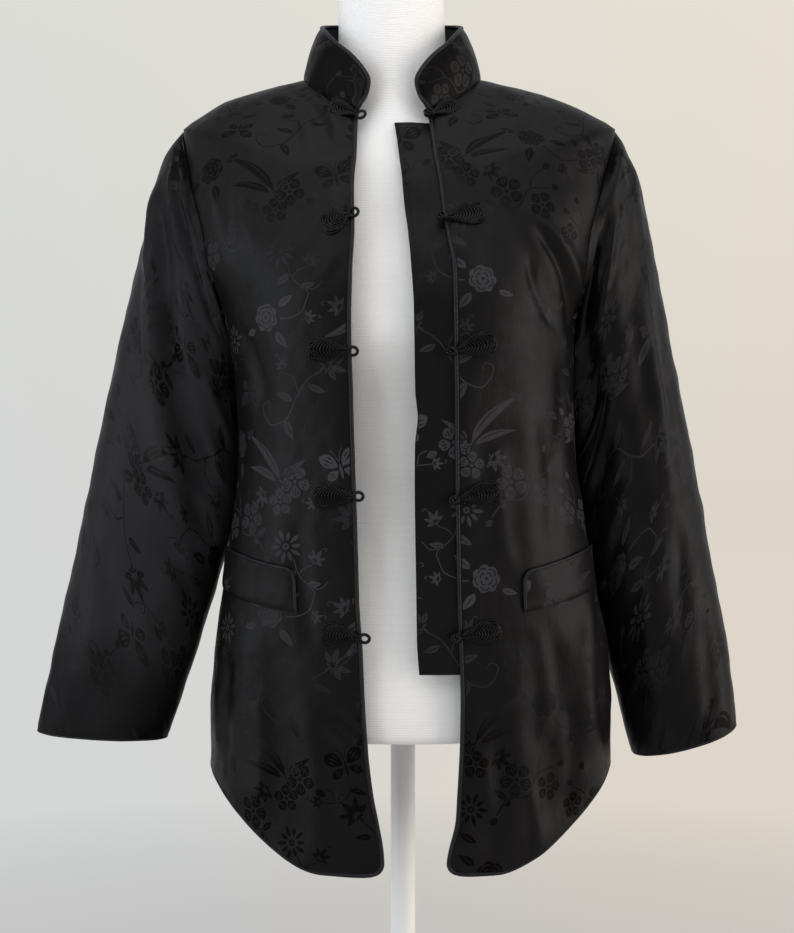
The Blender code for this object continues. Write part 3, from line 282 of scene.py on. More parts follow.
def curve_at(knots, values, at):
    """Values (..., knot, item) of a smooth curve, read at one place for each entry."""
    at = np.clip(at, knots[0], knots[-1])
    slopes = tangents(knots, values)
    cell = np.clip(np.searchsorted(knots, at, side="right") - 1, 0, len(knots) - 2)
    h = (knots[cell + 1] - knots[cell])[..., None]
    u = ((at - knots[cell])[..., None]) / h

    def pick(source, index):
        if source.ndim == 2:
            return source[index]
        return np.take_along_axis(source, index[..., None, None], axis=-2)[..., 0, :]

    return ((2 * u ** 3 - 3 * u ** 2 + 1) * pick(values, cell)
            + (u ** 3 - 2 * u ** 2 + u) * h * pick(slopes, cell)
            + (3 * u ** 2 - 2 * u ** 3) * pick(values, cell + 1)
            + (u ** 3 - u ** 2) * h * pick(slopes, cell + 1))


def read(table, at, item=1):
    """One column of a table as a smooth curve of its first column."""
    at = np.asarray(at, float)
    return curve_at(table[:, 0], table[:, item:item + 1], at)[..., 0]


def ease(value):
    """0 below 0, 1 above 1, smooth between."""
    value = np.clip(value, 0.0, 1.0)
    return value * value * (3 - 2 * value)


def ripple(a, b, size, seed):
    """Soft uneven waves over two coordinates, between about -1 and 1."""
    total = 0.0
    for wave in range(5):
        turn = seed * 1.7 + wave * 2.399
        pitch = (0.6 + 0.23 * wave) * 2 * math.pi / size
        total = total + np.sin(pitch * (a * math.cos(turn) + b * math.sin(turn)) + seed + wave)
    return total / 3.2


def crease_lift(a, b, creases, scale_a=1.0, scale_b=1.0, wrap=0.0):
    """Height of creases at points (a, b); a crease fades to nothing at its two ends."""
    lift = np.zeros(np.shape(a))
    for row in creases:
        a0, b0, a1, b1, width, height = row[:6]
        bow = row[6] if len(row) > 6 else 0.0
        along = np.array(((a1 - a0) * scale_a, (b1 - b0) * scale_b), float)
        size = np.hypot(*along)
        along /= size
        da = a - a0
        if wrap:
            da = (da + wrap / 2) % wrap - wrap / 2
        da = da * scale_a
        db = (b - b0) * scale_b
        share = (da * along[0] + db * along[1]) / size
        off = -da * along[1] + db * along[0] - bow * (1 - (2 * share - 1) ** 2)
        fade = ease((share + 0.18) / 0.36) * ease((1.18 - share) / 0.36)
        lift += height * np.exp(-(off / width) ** 2) * fade
    return lift


def fold_lift(x, z, folds):
    """Height of the large folds; each keeps its height along its whole line."""
    lift = np.zeros(np.shape(x))
    for x0, z0, x1, z1, width, height in folds:
        dx, dz = x1 - x0, z1 - z0
        share = np.clip(((x - x0) * dx + (z - z0) * dz) / (dx * dx + dz * dz), 0.0, 1.0)
        away = np.hypot(x - x0 - share * dx, z - z0 - share * dz)
        lift += height * np.exp(-(away / width) ** 2)
    return lift


def leaned(points):
    """Points moved sideways with the lean of the form and the jacket."""
    points = np.array(points, float)
    points[..., 0] -= LEAN * (points[..., 2] - FORM_BOTTOM)
    return points


# ---------------------------------------------------------------- the body's surface
def body_points(turns, levels):
    """Points of the body at turns in degrees (0 front, 90 left, 180 back) and levels."""
    angle = np.radians(np.asarray(turns, float))[..., None]
    levels = np.asarray(levels, float)
    across, forward = np.sin(angle), np.cos(angle)
    half = np.where(across < 0, ROWS[:, 4], ROWS[:, 5])
    deep = np.where(forward >= 0, ROWS[:, 6], ROWS[:, 7])
    power = 2.0 / ROWS[:, 8]
    x = np.sign(across) * half * np.abs(across) ** power
    y = -np.sign(forward) * deep * np.abs(forward) ** power
    end = np.where(forward >= 0, ROWS[:, 1], ROWS[:, 3])
    side = ROWS[:, 2] + 0 * end
    z = side + (end - side) * np.abs(forward) ** LEVEL_TILT
    reach = np.clip((np.abs(across[..., 0]) ** power[0] - HEM_FLAT) / (1 - HEM_FLAT), 0, 1)
    z[..., 0] = end[..., 0] + (side[..., 0] - end[..., 0]) * reach ** HEM_RISE
    return curve_at(LEVELS, np.stack([x, y, z], axis=-1), levels)


def body_normals(turns, levels):
    around = body_points(turns + 0.8, levels) - body_points(turns - 0.8, levels)
    high = np.minimum(levels + 2.0, LEVELS[-1])
    low = np.maximum(levels - 2.0, LEVELS[0])
    return unit(np.cross(around, body_points(turns, high) - body_points(turns, low)))


def body_lift(points):
    """How far creases and the wadding's softness lift the body's surface."""
    x, y, z = points[..., 0], points[..., 1], points[..., 2]
    near_side = np.clip(np.abs(y) / 25.0, 0.0, 1.0)
    front = fold_lift(x, z, FOLDS_FRONT) + crease_lift(x, z, CREASES_FRONT)
    back = fold_lift(x, z, FOLDS_BACK) + crease_lift(x, z, CREASES_BACK)
    lift = np.where(y < 0, front, back) * near_side
    lift += 0.55 * ripple(x + y, z, 74.0, 2.0) + 0.30 * ripple(x - y, z, 31.0, 5.0)
    return lift


def body_surface(turns, levels, out=0.0):
    points = body_points(turns, levels)
    return points + body_normals(turns, levels) * (body_lift(points) + out)[..., None]


def turn_for_x(x, level):
    """Turns on the front at which the body surface has the given x."""
    right, left, square = (read(ROWS, level, k) for k in (4, 5, 8))
    share = np.clip(np.abs(x) / np.where(np.asarray(x) < 0, right, left), 0.0, 1.0)
    return np.sign(x) * np.degrees(np.arcsin(share ** (square / 2.0)))


def turn_and_level(x, z):
    """Turns and levels of the front's points at given x and z."""
    x = np.asarray(x, float)
    z = np.asarray(z, float)
    level = np.clip(z, LEVELS[0], LEVELS[-1])
    for _step in range(14):
        level = level + (z - body_points(turn_for_x(x, level), level)[..., 2])
        level = np.clip(level, LEVELS[0], LEVELS[-1])
    return turn_for_x(x, level), level


def armhole_turn(level, reach):
    share = np.clip((level - ARMHOLE_LOW) / (ARMHOLE_HIGH - ARMHOLE_LOW), 0.0, 1.0)
    return reach * np.sin(np.pi * share) ** 0.62


def side_turn(level, gap):
    """Degrees from the side seam to a point a gap away."""
    power = read(ROWS, level, 8) / 2.0
    return 90.0 - np.degrees(np.arccos((gap / read(ROWS, level, 6)) ** power))


def front_edge(side, level):
    """Distance of a front's cloth edge from the middle, round at the bottom corner."""
    outline = read(FRONT_EDGE, level, 1 if side < 0 else 2)
    up = np.clip(CORNER - (level - LEVELS[0]), 0.0, CORNER)
    return outline + 2 * BOUND_CORD + CORNER - np.sqrt(CORNER ** 2 - up ** 2)


def panel_levels():
    """Levels of a panel's rows, close together at the round corner of the hem."""
    corner = np.linspace(LEVELS[0], LEVELS[0] + CORNER, 8)[:-1]
    rest = np.linspace(LEVELS[0] + CORNER, LEVELS[-1], PANEL_ROWS)
    return np.concatenate([corner, rest])


def front_grid(side):
    """Turns and levels of a front; side is -1 for the wearer's right."""
    levels = panel_levels()
    start = np.abs(turn_for_x(side * front_edge(side, levels), levels))
    stop = 90.0 - np.maximum(armhole_turn(levels, ARMHOLE_FRONT), side_turn(levels, SEAM))
    share = np.linspace(0.0, 1.0, FRONT_COLUMNS)
    turns = side * (start[:, None] + (stop - start)[:, None] * share)
    return turns, np.broadcast_to(levels[:, None], turns.shape)


def back_grid():
    """Turns and levels of the back, from the right seam to the left one."""
    levels = panel_levels()
    inset = np.maximum(armhole_turn(levels, ARMHOLE_BACK), side_turn(levels, SEAM))
    share = np.linspace(0.0, 1.0, BACK_COLUMNS)
    turns = 270.0 - inset[:, None] - (180.0 - 2 * inset)[:, None] * share
    return turns, np.broadcast_to(levels[:, None], turns.shape)


# ---------------------------------------------------------------- the woven figure
# Each drawing function gives a list of closed outlines; where two overlap, the figure is
# left out, which draws the veins.
def polar(turn, reach):
    """A point at a reach from the middle, in a direction in degrees."""
    angle = math.radians(turn)
    return reach * np.array((math.cos(angle), math.sin(angle)))


def moved(outlines, turn, at=(0.0, 0.0), size=1.0, mirrored=False):
    """Outlines turned by degrees, scaled and set down at a point."""
    angle = math.radians(turn)
    spin = np.array(((math.cos(angle), math.sin(angle)), (-math.sin(angle), math.cos(angle))))
    flip = np.array((-1.0 if mirrored else 1.0, 1.0))
    return [(outline * size * flip) @ spin + np.array(at) for outline in outlines]


def petal(root, turn, length, width, fullness=1.0, blunt=0.8, bend=0.0, steps=6):
    """A petal or plain leaf; a high fullness puts its widest part near the tip."""
    share = np.linspace(0.0, 1.0, steps + 1)
    half = width / 2 * np.sin(np.pi * share ** fullness).clip(0) ** blunt
    spine = bend * share ** 2
    upper = np.stack([length * share, spine + half], axis=1)
    lower = np.stack([length * share, spine - half], axis=1)[-2:0:-1]
    return moved([np.concatenate([upper, lower])], turn, root)


def stem(route, wide, thin):
    """A stem along a smooth curve through a few points."""
    route = np.array(route, float)
    knots = np.arange(len(route), dtype=float)
    at = np.linspace(0.0, len(route) - 1.0, 5 * len(route) - 4)
    line = curve_at(knots, np.broadcast_to(route, (len(at),) + route.shape), at)
    ahead = unit(np.gradient(line, axis=0))
    side = np.stack([-ahead[:, 1], ahead[:, 0]], axis=1)
    half = np.linspace(wide, thin, len(at))[:, None] / 2
    return [np.concatenate([line + side * half, (line - side * half)[::-1]])]


def veined_petal(root, turn, length, width, lanes, **shape):
    """A petal and its narrow veins; a lane is a vein's place across the petal."""
    ahead = polar(turn, 1.0)
    aside = np.array((-ahead[1], ahead[0]))
    shapes = petal(root, turn, length, width, **shape)
    for lane in lanes:
        start = root + ahead * length * (0.26 + 0.5 * abs(lane)) + aside * width * lane
        shapes += petal(start, turn + 26 * lane, length * (0.52 - 0.9 * abs(lane)),
                        width * 0.11, steps=4)
    return shapes


ONE_VEIN, TWO_VEINS, THREE_VEINS = (0.0,), (-0.17, 0.17), (-0.24, 0.0, 0.24)


def lotus(at, turn, size):
    """A flower of pointed petals seen from its side, with sepals and a tendril."""
    shapes = []
    for lean, far, length, width, lanes in (
            (-78, 0.20, 0.62, 0.30, ONE_VEIN), (-39, 0.17, 0.86, 0.33, TWO_VEINS),
            (0, 0.16, 1.00, 0.36, TWO_VEINS), (39, 0.17, 0.86, 0.33, TWO_VEINS),
            (78, 0.20, 0.62, 0.30, ONE_VEIN)):
        shapes += veined_petal(polar(lean, far * size), lean + 0.1 * lean, length * size,
                               width * size, lanes, fullness=0.80, blunt=1.0)
    for lean in (112, 180, -112):
        shapes += petal((-0.04 * size, 0.0), lean, 0.34 * size, 0.12 * size)
    tendril = ((1.22, 0.02), (1.40, 0.12), (1.46, 0.32), (1.30, 0.38), (1.26, 0.26))
    return moved(shapes + stem(size * np.array(tendril), 0.9, 0.6), turn, at)


def plum(at, turn, size):
    """A five-petalled blossom seen from the front."""
    shapes = []
    for lean in range(0, 360, 72):
        shapes += veined_petal(polar(lean, 0.13 * size), lean, 0.50 * size, 0.44 * size,
                               THREE_VEINS, fullness=1.30, blunt=0.55)
    shapes += petal((-0.08 * size, 0.0), 0, 0.16 * size, 0.16 * size, blunt=0.5)
    return moved(shapes, turn, at)


def daisy(at, turn, size):
    """A flower of ten narrow petals, long and short by turns, round a seed head."""
    shapes = []
    for step in range(10):
        lean = 36.0 * step
        shapes += petal(polar(lean, 0.20 * size), lean, (0.44 - 0.08 * (step % 2)) * size,
                        0.15 * size, fullness=0.95, blunt=0.8, steps=5)
    shapes += petal((-0.13 * size, 0.0), 0, 0.26 * size, 0.24 * size, blunt=0.5)
    shapes += petal((-0.05 * size, 0.0), 0, 0.10 * size, 0.10 * size, blunt=0.5, steps=4)
    return moved(shapes, turn, at)


def orchid(at, turn, size):
    """A flower like a butterfly: two broad wings, two lower ones and two feelers."""
    shapes = []
    for lean, length, width in ((48, 0.66, 0.40), (-48, 0.66, 0.40),
                                (118, 0.44, 0.28), (-118, 0.44, 0.28)):
        shapes += veined_petal(polar(lean, 0.09 * size), lean, length * size, width * size,
                               THREE_VEINS, fullness=1.25, blunt=0.62)
    shapes += petal((-0.34 * size, 0.0), 0, 0.52 * size, 0.09 * size)
    for way in (1, -1):
        feeler = ((0.22, 0.02 * way), (0.44, 0.08 * way), (0.62, 0.20 * way))
        shapes += stem(size * np.array(feeler), 0.7, 0.5)
    return moved(shapes, turn, at)


def rose(at, turn, size):
    """A full blossom with a scalloped rim; its inner petals are left out as thin lines."""
    around = np.linspace(0.0, 2 * np.pi, 43)[:-1]
    reach = 0.5 * size * (0.84 + 0.16 * np.abs(np.cos(3.5 * around)))
    shapes = [np.stack([reach * np.cos(around), reach * np.sin(around)], axis=1)]
    for ring, count, spread in ((0.33, 5, 56.0), (0.19, 4, 66.0)):
        for step in range(count):
            middle = 360.0 * step / count + 90 * ring
            angle = np.radians(middle + np.linspace(-0.5, 0.5, 4) * spread)
            bulge = ring * size * (1.0 + 0.16 * np.cos(np.linspace(-1.5, 1.5, 4)))
            arc = np.stack([bulge * np.cos(angle), bulge * np.sin(angle)], axis=1)
            shapes += stem(arc, 0.045 * size, 0.03 * size)
    shapes += petal((-0.05 * size, 0.0), 20, 0.12 * size, 0.09 * size, blunt=0.6)
    return moved(shapes, turn, at)


def leaf(at, turn, length, width, bend):
    """A long curved leaf with its vein left out."""
    blade = petal((0.0, 0.0), 0, length, width, fullness=0.8, blunt=0.9, bend=bend, steps=9)
    vein = petal((0.1 * length, 0.01 * bend), 0, 0.7 * length, 0.12 * width,
                 bend=0.55 * bend, steps=7)
    return moved(blade + vein, turn, at)


# What each spray is made of: the drawing function and its values.
SPRAYS = {
    "lotus": (
        (stem, ((-34, -30), (-24, -36), (-10, -28), (-4, -10), (4, 8), (15, 18)), 1.4, 1.0),
        (lotus, (18, 22), 40, 17), (leaf, (-7, -12), 158, 17, 7, 3),
        (leaf, (-12, -30), -38, 18, 7.5, -4), (leaf, (6, 4), -22, 15, 6, 3),
        (stem, ((-2, -4), (-10, 8), (-22, 10), (-24, 2)), 1.0, 0.7),
        (stem, ((-34, -30), (-38, -22), (-32, -17), (-28, -22)), 1.0, 0.6),
        (lotus, (-21, 14), 122, 8.5)),
    "plum": (
        (stem, ((-38, -6), (-20, 2), (-4, -4), (14, 8), (34, 4)), 1.5, 0.9),
        (plum, (-7, 14), 20, 25), (plum, (20, -9), 50, 21),
        (stem, ((14, 8), (22, 18), (34, 22)), 1.1, 0.8),
        (petal, (36, 23), 20, 8.5, 6.0, 1.2, 0.6), (petal, (36, 5), -10, 8.5, 6.0, 1.2, 0.6),
        (petal, (-38, -8), 200, 8.5, 6.0, 1.2, 0.6), (petal, (-22, 4), 250, 8.5, 6.0, 1.2, 0.6),
        (leaf, (-22, 3), 128, 14, 6, -2)),
    "iris": (
        (leaf, (-6, -16), 74, 56, 9.0, -26), (leaf, (-2, -17), 46, 36, 7.5, -13),
        (leaf, (-10, -18), 128, 26, 6.5, 9), (plum, (-20, -20), 60, 22),
        (plum, (-4, -35), 20, 19), (lotus, (14, -26), -30, 12),
        (petal, (-33, -30), 215, 10, 6.5, 0.9),
        (stem, ((-6, -16), (-10, -24), (-5, -28)), 1.2, 1.0)),
    "daisy": (
        (daisy, (8, 10), 10, 26), (lotus, (-16, -10), 140, 11),
        (stem, ((4, -3), (4, -14), (-2, -28), (-14, -36), (-24, -31)), 1.2, 0.8),
        (stem, ((3, -18), (-4, -14), (-13, -13)), 1.0, 0.8),
        (leaf, (5, -14), -30, 17, 7.5, 3), (leaf, (-2, -29), 200, 15, 6.5, -3)),
    "rose": (
        (rose, (4, 8), 15, 27), (leaf, (-10, -3), 205, 18, 8, 3),
        (leaf, (13, -7), -50, 19, 8.5, -3), (leaf, (19, 19), 48, 15, 6.5, 2),
        (stem, ((0, -8), (-4, -18), (-16, -28), (-30, -28), (-36, -20)), 1.2, 0.7),
        (lotus, (-9, -34), 235, 8.5)),
    "wing": (
        (orchid, (0, 2), 65, 31), (stem, ((-8, -16), (-7, -24), (4, -33), (18, -34)), 1.0, 0.8),
        (stem, ((5, -32), (8, -24), (16, -21)), 0.9, 0.7), (lotus, (20, -34), -8, 8.0),
        (leaf, (-8, -20), 165, 16, 6, 4)),
}
DRAWN = {kind: [outline for draw, *values in rows for outline in draw(*values)]
         for kind, rows in SPRAYS.items()}
# One repeat of the cloth: (spray, across, up, turn, size, mirrored, tone); the tone sets how much
# of the painted sheen a spray takes.
REPEAT = (
    ("lotus", 34, 40, 0, 1.00, False, 0.2), ("daisy", 104, 30, -15, 0.95, False, 0.7),
    ("plum", 168, 52, 25, 1.00, False, 0.4), ("wing", 62, 104, 10, 0.95, False, 0.9),
    ("iris", 128, 112, -8, 1.05, False, 0.6), ("rose", 190, 122, 20, 0.95, True, 0.3),
    ("plum", 26, 158, -40, 0.90, True, 0.8), ("lotus", 96, 176, 12, 1.05, True, 0.5),
    ("wing", 160, 178, 160, 0.90, True, 0.1), ("iris", 44, 222, 175, 0.95, True, 0.7),
    ("daisy", 196, 226, 70, 0.90, True, 0.5), ("rose", 122, 240, -70, 0.95, False, 0.9),
)
REPEAT_SIZE = (231.0, 283.0)
REPEAT_SCALE = 1.08         # of the places and sizes in the table above
SPRAY_REACH, SEARCH_REACH = 45, 60
SLEEVE_SHEEN_SHARE = 0.5           # painted shade: the figure keeps half of its painted sheen on the sleeves, so it is darker there
SMALLEST_SHAPE = 0.4        # square mm left of an outline at a panel's edge


def cloth_figure(across, up, start):
    """Every outline of the figure that falls on a panel, with its tone."""
    found = []
    low = np.array((across.min(), up.min()))
    high = np.array((across.max(), up.max()))
    first = np.floor((low - SEARCH_REACH - start) / REPEAT_SIZE).astype(int)
    last = np.ceil((high + SEARCH_REACH - start) / REPEAT_SIZE).astype(int)
    for column in range(first[0], last[0] + 1):
        for row in range(first[1], last[1] + 1):
            corner = start + np.array((column, row + 0.5 * (column % 2))) * REPEAT_SIZE
            for kind, x, y, turn, size, mirrored, tone in REPEAT:
                at = corner + np.array((x, y)) * REPEAT_SCALE
                if (at < low - SPRAY_REACH).any() or (at > high + SPRAY_REACH).any():
                    continue
                outlines = moved(DRAWN[kind], turn, at, size * REPEAT_SCALE, mirrored)
                found += [(outline, tone) for outline in outlines]
    return found


def grid_values(values, col, row):
    """A grid of values read between its points."""
    rows, columns = values.shape[:2]
    c0 = np.clip(np.floor(col).astype(int), 0, columns - 2)
    r0 = np.clip(np.floor(row).astype(int), 0, rows - 2)
    fc = (col - c0).reshape(col.shape + (1,) * (values.ndim - 2))
    fr = (row - r0).reshape(row.shape + (1,) * (values.ndim - 2))
    low = values[r0, c0] * (1 - fc) + values[r0, c0 + 1] * fc
    high = values[r0 + 1, c0] * (1 - fc) + values[r0 + 1, c0 + 1] * fc
    return low * (1 - fr) + high * fr


def cloth_to_grid(points, across, up):
    """Columns and rows of a panel's grid at points of its flat cloth."""
    cloth = np.stack([across, up], axis=-1)
    rows, columns = across.shape
    col = np.interp(points[:, 0], across.mean(axis=0), np.arange(columns))
    row = np.interp(points[:, 1], up.mean(axis=1), np.arange(rows))
    for _step in range(7):
        by_col = grid_values(cloth, col + 0.5, row) - grid_values(cloth, col - 0.5, row)
        by_row = grid_values(cloth, col, row + 0.5) - grid_values(cloth, col, row - 0.5)
        miss = points - grid_values(cloth, col, row)
        det = by_col[:, 0] * by_row[:, 1] - by_col[:, 1] * by_row[:, 0]
        det = np.where(np.abs(det) < 1e-6, 1e-6, det)
        col = col + np.clip((miss[:, 0] * by_row[:, 1] - miss[:, 1] * by_row[:, 0]) / det, -9, 9)
        row = row + np.clip((by_col[:, 0] * miss[:, 1] - by_col[:, 1] * miss[:, 0]) / det, -9, 9)
    return np.stack([col, row], axis=1)


def clipped(outline, low, high):
    """An outline cut off at the sides of a rectangle."""
    for axis, limit, sign in ((0, low[0], 1.0), (0, high[0], -1.0),
                              (1, low[1], 1.0), (1, high[1], -1.0)):
        kept = []
        inside = sign * (outline[:, axis] - limit) >= 0
        for index in range(len(outline)):
            before = index - 1
            if inside[index] != inside[before]:
                share = ((limit - outline[before, axis])
                         / (outline[index, axis] - outline[before, axis]))
                kept.append(outline[before] + share * (outline[index] - outline[before]))
            if inside[index]:
                kept.append(outline[index])
        outline = np.array(kept).reshape(-1, 2)
    return outline


def figured_layer(across, up, start):
    """A panel's grid triangulated round the outlines of the figure.

    Gives the columns and rows of its points, its triangles, whether each one is figure,
    its tone, and the new number of each grid point.
    """
    rows, columns = across.shape
    pitch = np.array((np.abs(np.diff(across, axis=1)).mean(), np.abs(np.diff(up, axis=0)).mean()))
    cols, lines = np.meshgrid(np.arange(columns), np.arange(rows))
    grid = np.stack([cols.ravel(), lines.ravel()], axis=1) * pitch
    points = [Vector(place) for place in grid.tolist()]
    outlines, tones = [], []
    low, high = np.full(2, 0.2), np.array((columns - 1.2, rows - 1.2))
    found = cloth_figure(across, up, np.array(start))
    every = cloth_to_grid(np.concatenate([outline for outline, _tone in found]), across, up)
    ends = np.cumsum([len(outline) for outline, _tone in found])
    for place, (_outline, tone) in zip(np.split(every, ends[:-1]), found):
        place = clipped(place, low, high) * pitch
        turned = np.roll(place, -1, axis=0)
        area = 0.5 * (place[:, 0] * turned[:, 1] - place[:, 1] * turned[:, 0]).sum()
        if len(place) < 3 or abs(area) < SMALLEST_SHAPE:
            continue
        place = place if area > 0 else place[::-1]
        outlines.append(list(range(len(points), len(points) + len(place))))
        points += [Vector(spot) for spot in place.tolist()]
        tones.append(tone)
    made = delaunay_2d_cdt(points, [], outlines, 0, 1e-4)
    spots, _edges, triangles, from_points, _from_edges, from_faces = made
    number = np.zeros(rows * columns, int)
    for index, sources in enumerate(from_points):
        for source in sources:
            if source < rows * columns:
                number[source] = index
    place = np.array([(spot.x, spot.y) for spot in spots]) / pitch
    figure = np.array([len(source) % 2 for source in from_faces], bool)
    tone = np.array([tones[source[-1]] if source else 0.0 for source in from_faces])
    return place, np.array(triangles), figure, tone, number.reshape(rows, columns)


# ---------------------------------------------------------------- pieces
def make_piece(name, points, faces, materials, nodes, marks=None, sharp=52):
    """An object from points in mm, riding on the part and standing for its CAD nodes."""
    mesh = bpy.data.meshes.new(name)
    mesh.from_pydata((np.asarray(points, float) * MM).tolist(), [], [list(f) for f in faces])
    for made in materials:
        mesh.materials.append(made)
    if marks is not None:
        mesh.polygons.foreach_set("material_index", np.asarray(marks, np.int32))
    mesh.shade_smooth()
    mesh.set_sharp_from_angle(angle=math.radians(sharp))
    mesh.update()
    piece = bpy.data.objects.new(name, mesh)
    bpy.context.scene.collection.objects.link(piece)
    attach(piece, "root")
    if nodes:
        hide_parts(*nodes)
    return piece


def make_cord(node, points, faces, look):
    """A cord piece in place of a CAD node."""
    return make_piece(node + "_cord", leaned(points), faces, [look], [node])


def grid_triangles(number):
    """Triangles of a grid of point numbers."""
    a, b = number[:-1, :-1].ravel(), number[:-1, 1:].ravel()
    c, d = number[1:, 1:].ravel(), number[1:, :-1].ravel()
    return np.concatenate([np.stack([a, b, c], axis=1), np.stack([a, c, d], axis=1)])


def rim(outer, inner):
    """Quads between the edges of two layers, given as runs of point numbers."""
    return [(outer[k], inner[k], inner[k + 1], outer[k + 1]) for k in range(len(outer) - 1)]


def ring_faces(count, sides, first=0, closed=False):
    """Faces through a row of rings of points, with end faces unless the row is closed."""
    faces = []
    for step in range(count if closed else count - 1):
        low, high = first + step * sides, first + (step + 1) % count * sides
        faces += [(low + k, low + (k + 1) % sides, high + (k + 1) % sides, high + k)
                  for k in range(sides)]
    if not closed:
        last = first + (count - 1) * sides
        faces += [tuple(range(first, first + sides))[::-1], tuple(range(last, last + sides))]
    return faces


def cloth_shell(node, outer, inner, across, up, ring=False):
    """A closed thin shell of figured cloth in place of a CAD node.

    It comes from grids of its outer and inner points and of their places on the flat
    cloth. A ring's last column lies on its first one.
    """
    place, triangles, figure, tone, number = figured_layer(across, up, FIGURE_START[node])
    layer = grid_values(outer, place[:, 0], place[:, 1])
    lining = len(layer) + np.arange(outer.shape[0] * outer.shape[1]).reshape(outer.shape[:2])
    points = np.concatenate([layer, inner.reshape(-1, 3)])
    if ring:
        swap = np.arange(len(points))
        swap[number[:, -1]] = number[:, 0]
        swap[lining[:, -1]] = lining[:, 0]
        triangles, number, lining = swap[triangles], swap[number], swap[lining]
    backs = grid_triangles(lining)[:, ::-1]
    edges = rim(number[0], lining[0]) + rim(number[-1][::-1], lining[-1][::-1])
    if not ring:
        edges += rim(number[::-1, 0], lining[::-1, 0]) + rim(number[:, -1], lining[:, -1])
    corners = points[triangles]
    facing = np.cross(corners[:, 1] - corners[:, 0], corners[:, 2] - corners[:, 0])
    outward = grid_values(outer - inner, *(place[triangles].mean(axis=1).T))
    if (facing * outward).sum() < 0:
        triangles, backs = triangles[:, ::-1], backs[:, ::-1]
        edges = [edge[::-1] for edge in edges]
    used = np.unique(np.concatenate([triangles.ravel(), backs.ravel()]))
    renumber = np.zeros(len(points), int)
    renumber[used] = np.arange(len(used))
    faces = [[int(renumber[k]) for k in face]
             for face in triangles.tolist() + backs.tolist() + edges]
    marks = np.concatenate([figure.astype(int), np.full(len(backs), 2), np.zeros(len(edges))])
    piece = make_piece(node + "_cloth", leaned(points[used]), faces, [GROUND, FIGURE, LINING],
                       [node], marks)
    values = np.zeros(len(faces), np.float32)
    # Painted shade: on the sleeves the figure takes only part of the painted sheen.
    values[:len(tone)] = tone * (SLEEVE_SHEEN_SHARE if ring else 1.0)
    piece.data.attributes.new("tone", "FLOAT", "FACE").data.foreach_set("value", values)
    return piece


def arc_lengths(grid, axis, centre):
    """Lengths along the rows or columns of a grid, from one of its lines."""
    steps = np.linalg.norm(np.diff(grid, axis=axis), axis=-1)
    total = np.cumsum(steps, axis=axis)
    zero = np.zeros_like(np.take(total, [0], axis=axis))
    total = np.concatenate([zero, total], axis=axis)
    return total - np.take(total, [centre], axis=axis)


def tube(path, radius, sides, up, ring=False, first=0):
    """Points and faces of a cord along a path; its ends are rounded unless it is a ring."""
    path = np.asarray(path, float)
    up = np.broadcast_to(np.asarray(up, float), path.shape)
    radius = np.broadcast_to(np.asarray(radius, float), (len(path),)).copy()
    if ring:
        ahead = unit(np.roll(path, -1, axis=0) - np.roll(path, 1, axis=0))
    else:
        out = np.array((0.0, 0.45, 0.8, 0.95))[:, None]
        size = np.array((1.0, 0.88, 0.6, 0.25))
        head = path[0] + unit(path[0] - path[1]) * radius[0] * out[::-1]
        tail = path[-1] + unit(path[-1] - path[-2]) * radius[-1] * out
        path = np.concatenate([head, path[1:-1], tail])
        up = np.concatenate([np.repeat(up[:1], 4, axis=0), up[1:-1],
                             np.repeat(up[-1:], 4, axis=0)])
        radius = np.concatenate([radius[0] * size[::-1], radius[1:-1], radius[-1] * size])
        ahead = unit(np.gradient(path, axis=0))
    across = unit(np.cross(ahead, up))
    lift = np.cross(across, ahead)
    angle = np.arange(sides) * 2 * np.pi / sides
    spoke = (np.cos(angle)[None, :, None] * across[:, None, :]
             + np.sin(angle)[None, :, None] * lift[:, None, :])
    points = (path[:, None, :] + radius[:, None, None] * spoke).reshape(-1, 3)
    return points, [face[1::-1] + face[:1:-1]
                    for face in ring_faces(len(path), sides, first, ring)]


def joined(runs):
    """Points and faces of several cords as one mesh; a run is what tube() takes."""
    points, faces = [], []
    total = 0
    for run in runs:
        new_points, new_faces = tube(*run, first=total)
        points.append(new_points)
        faces += new_faces
        total += len(new_points)
    return np.concatenate(points), faces


def softened(path, passes=1):
    """A path whose points are drawn towards their neighbours."""
    for _pass in range(passes):
        path[1:-1] = (path[:-2] + 2 * path[1:-1] + path[2:]) / 4
    return path


def centre(grid):
    """The middle point of a grid."""
    return grid[len(grid) // 2, grid.shape[1] // 2]


def edge_path(outline, normals, radius, middle):
    """Centre line of a cord sewn along a panel's outline, away from the middle point."""
    away = unit(np.cross(unit(np.gradient(outline, axis=0)), normals))
    if (away * (outline - middle)).sum() < 0:
        away = -away
    return outline - normals * WALL / 2 + away * (radius * CORD_OUT)


def dip(distance, width):
    """1 on a seam's line, falling to 0 within about twice the width."""
    return np.exp(-(distance / width) ** 1.5)


# ---------------------------------------------------------------- fronts and back
def edge_wave(side, turns, levels):
    """Small waves of the fronts' free edges and of the hem."""
    x = np.abs(body_points(turns, levels)[..., 0])
    near = np.exp(-((x - 45.0) / 26.0) ** 2)
    low = 1.0 - ease((levels - 470.0) / 240.0)
    wave = np.sin(levels / 21.0 + side) + 0.6 * np.sin(levels / 11.5 + 2 * side)
    return near * wave * (0.5 + 1.3 * low)


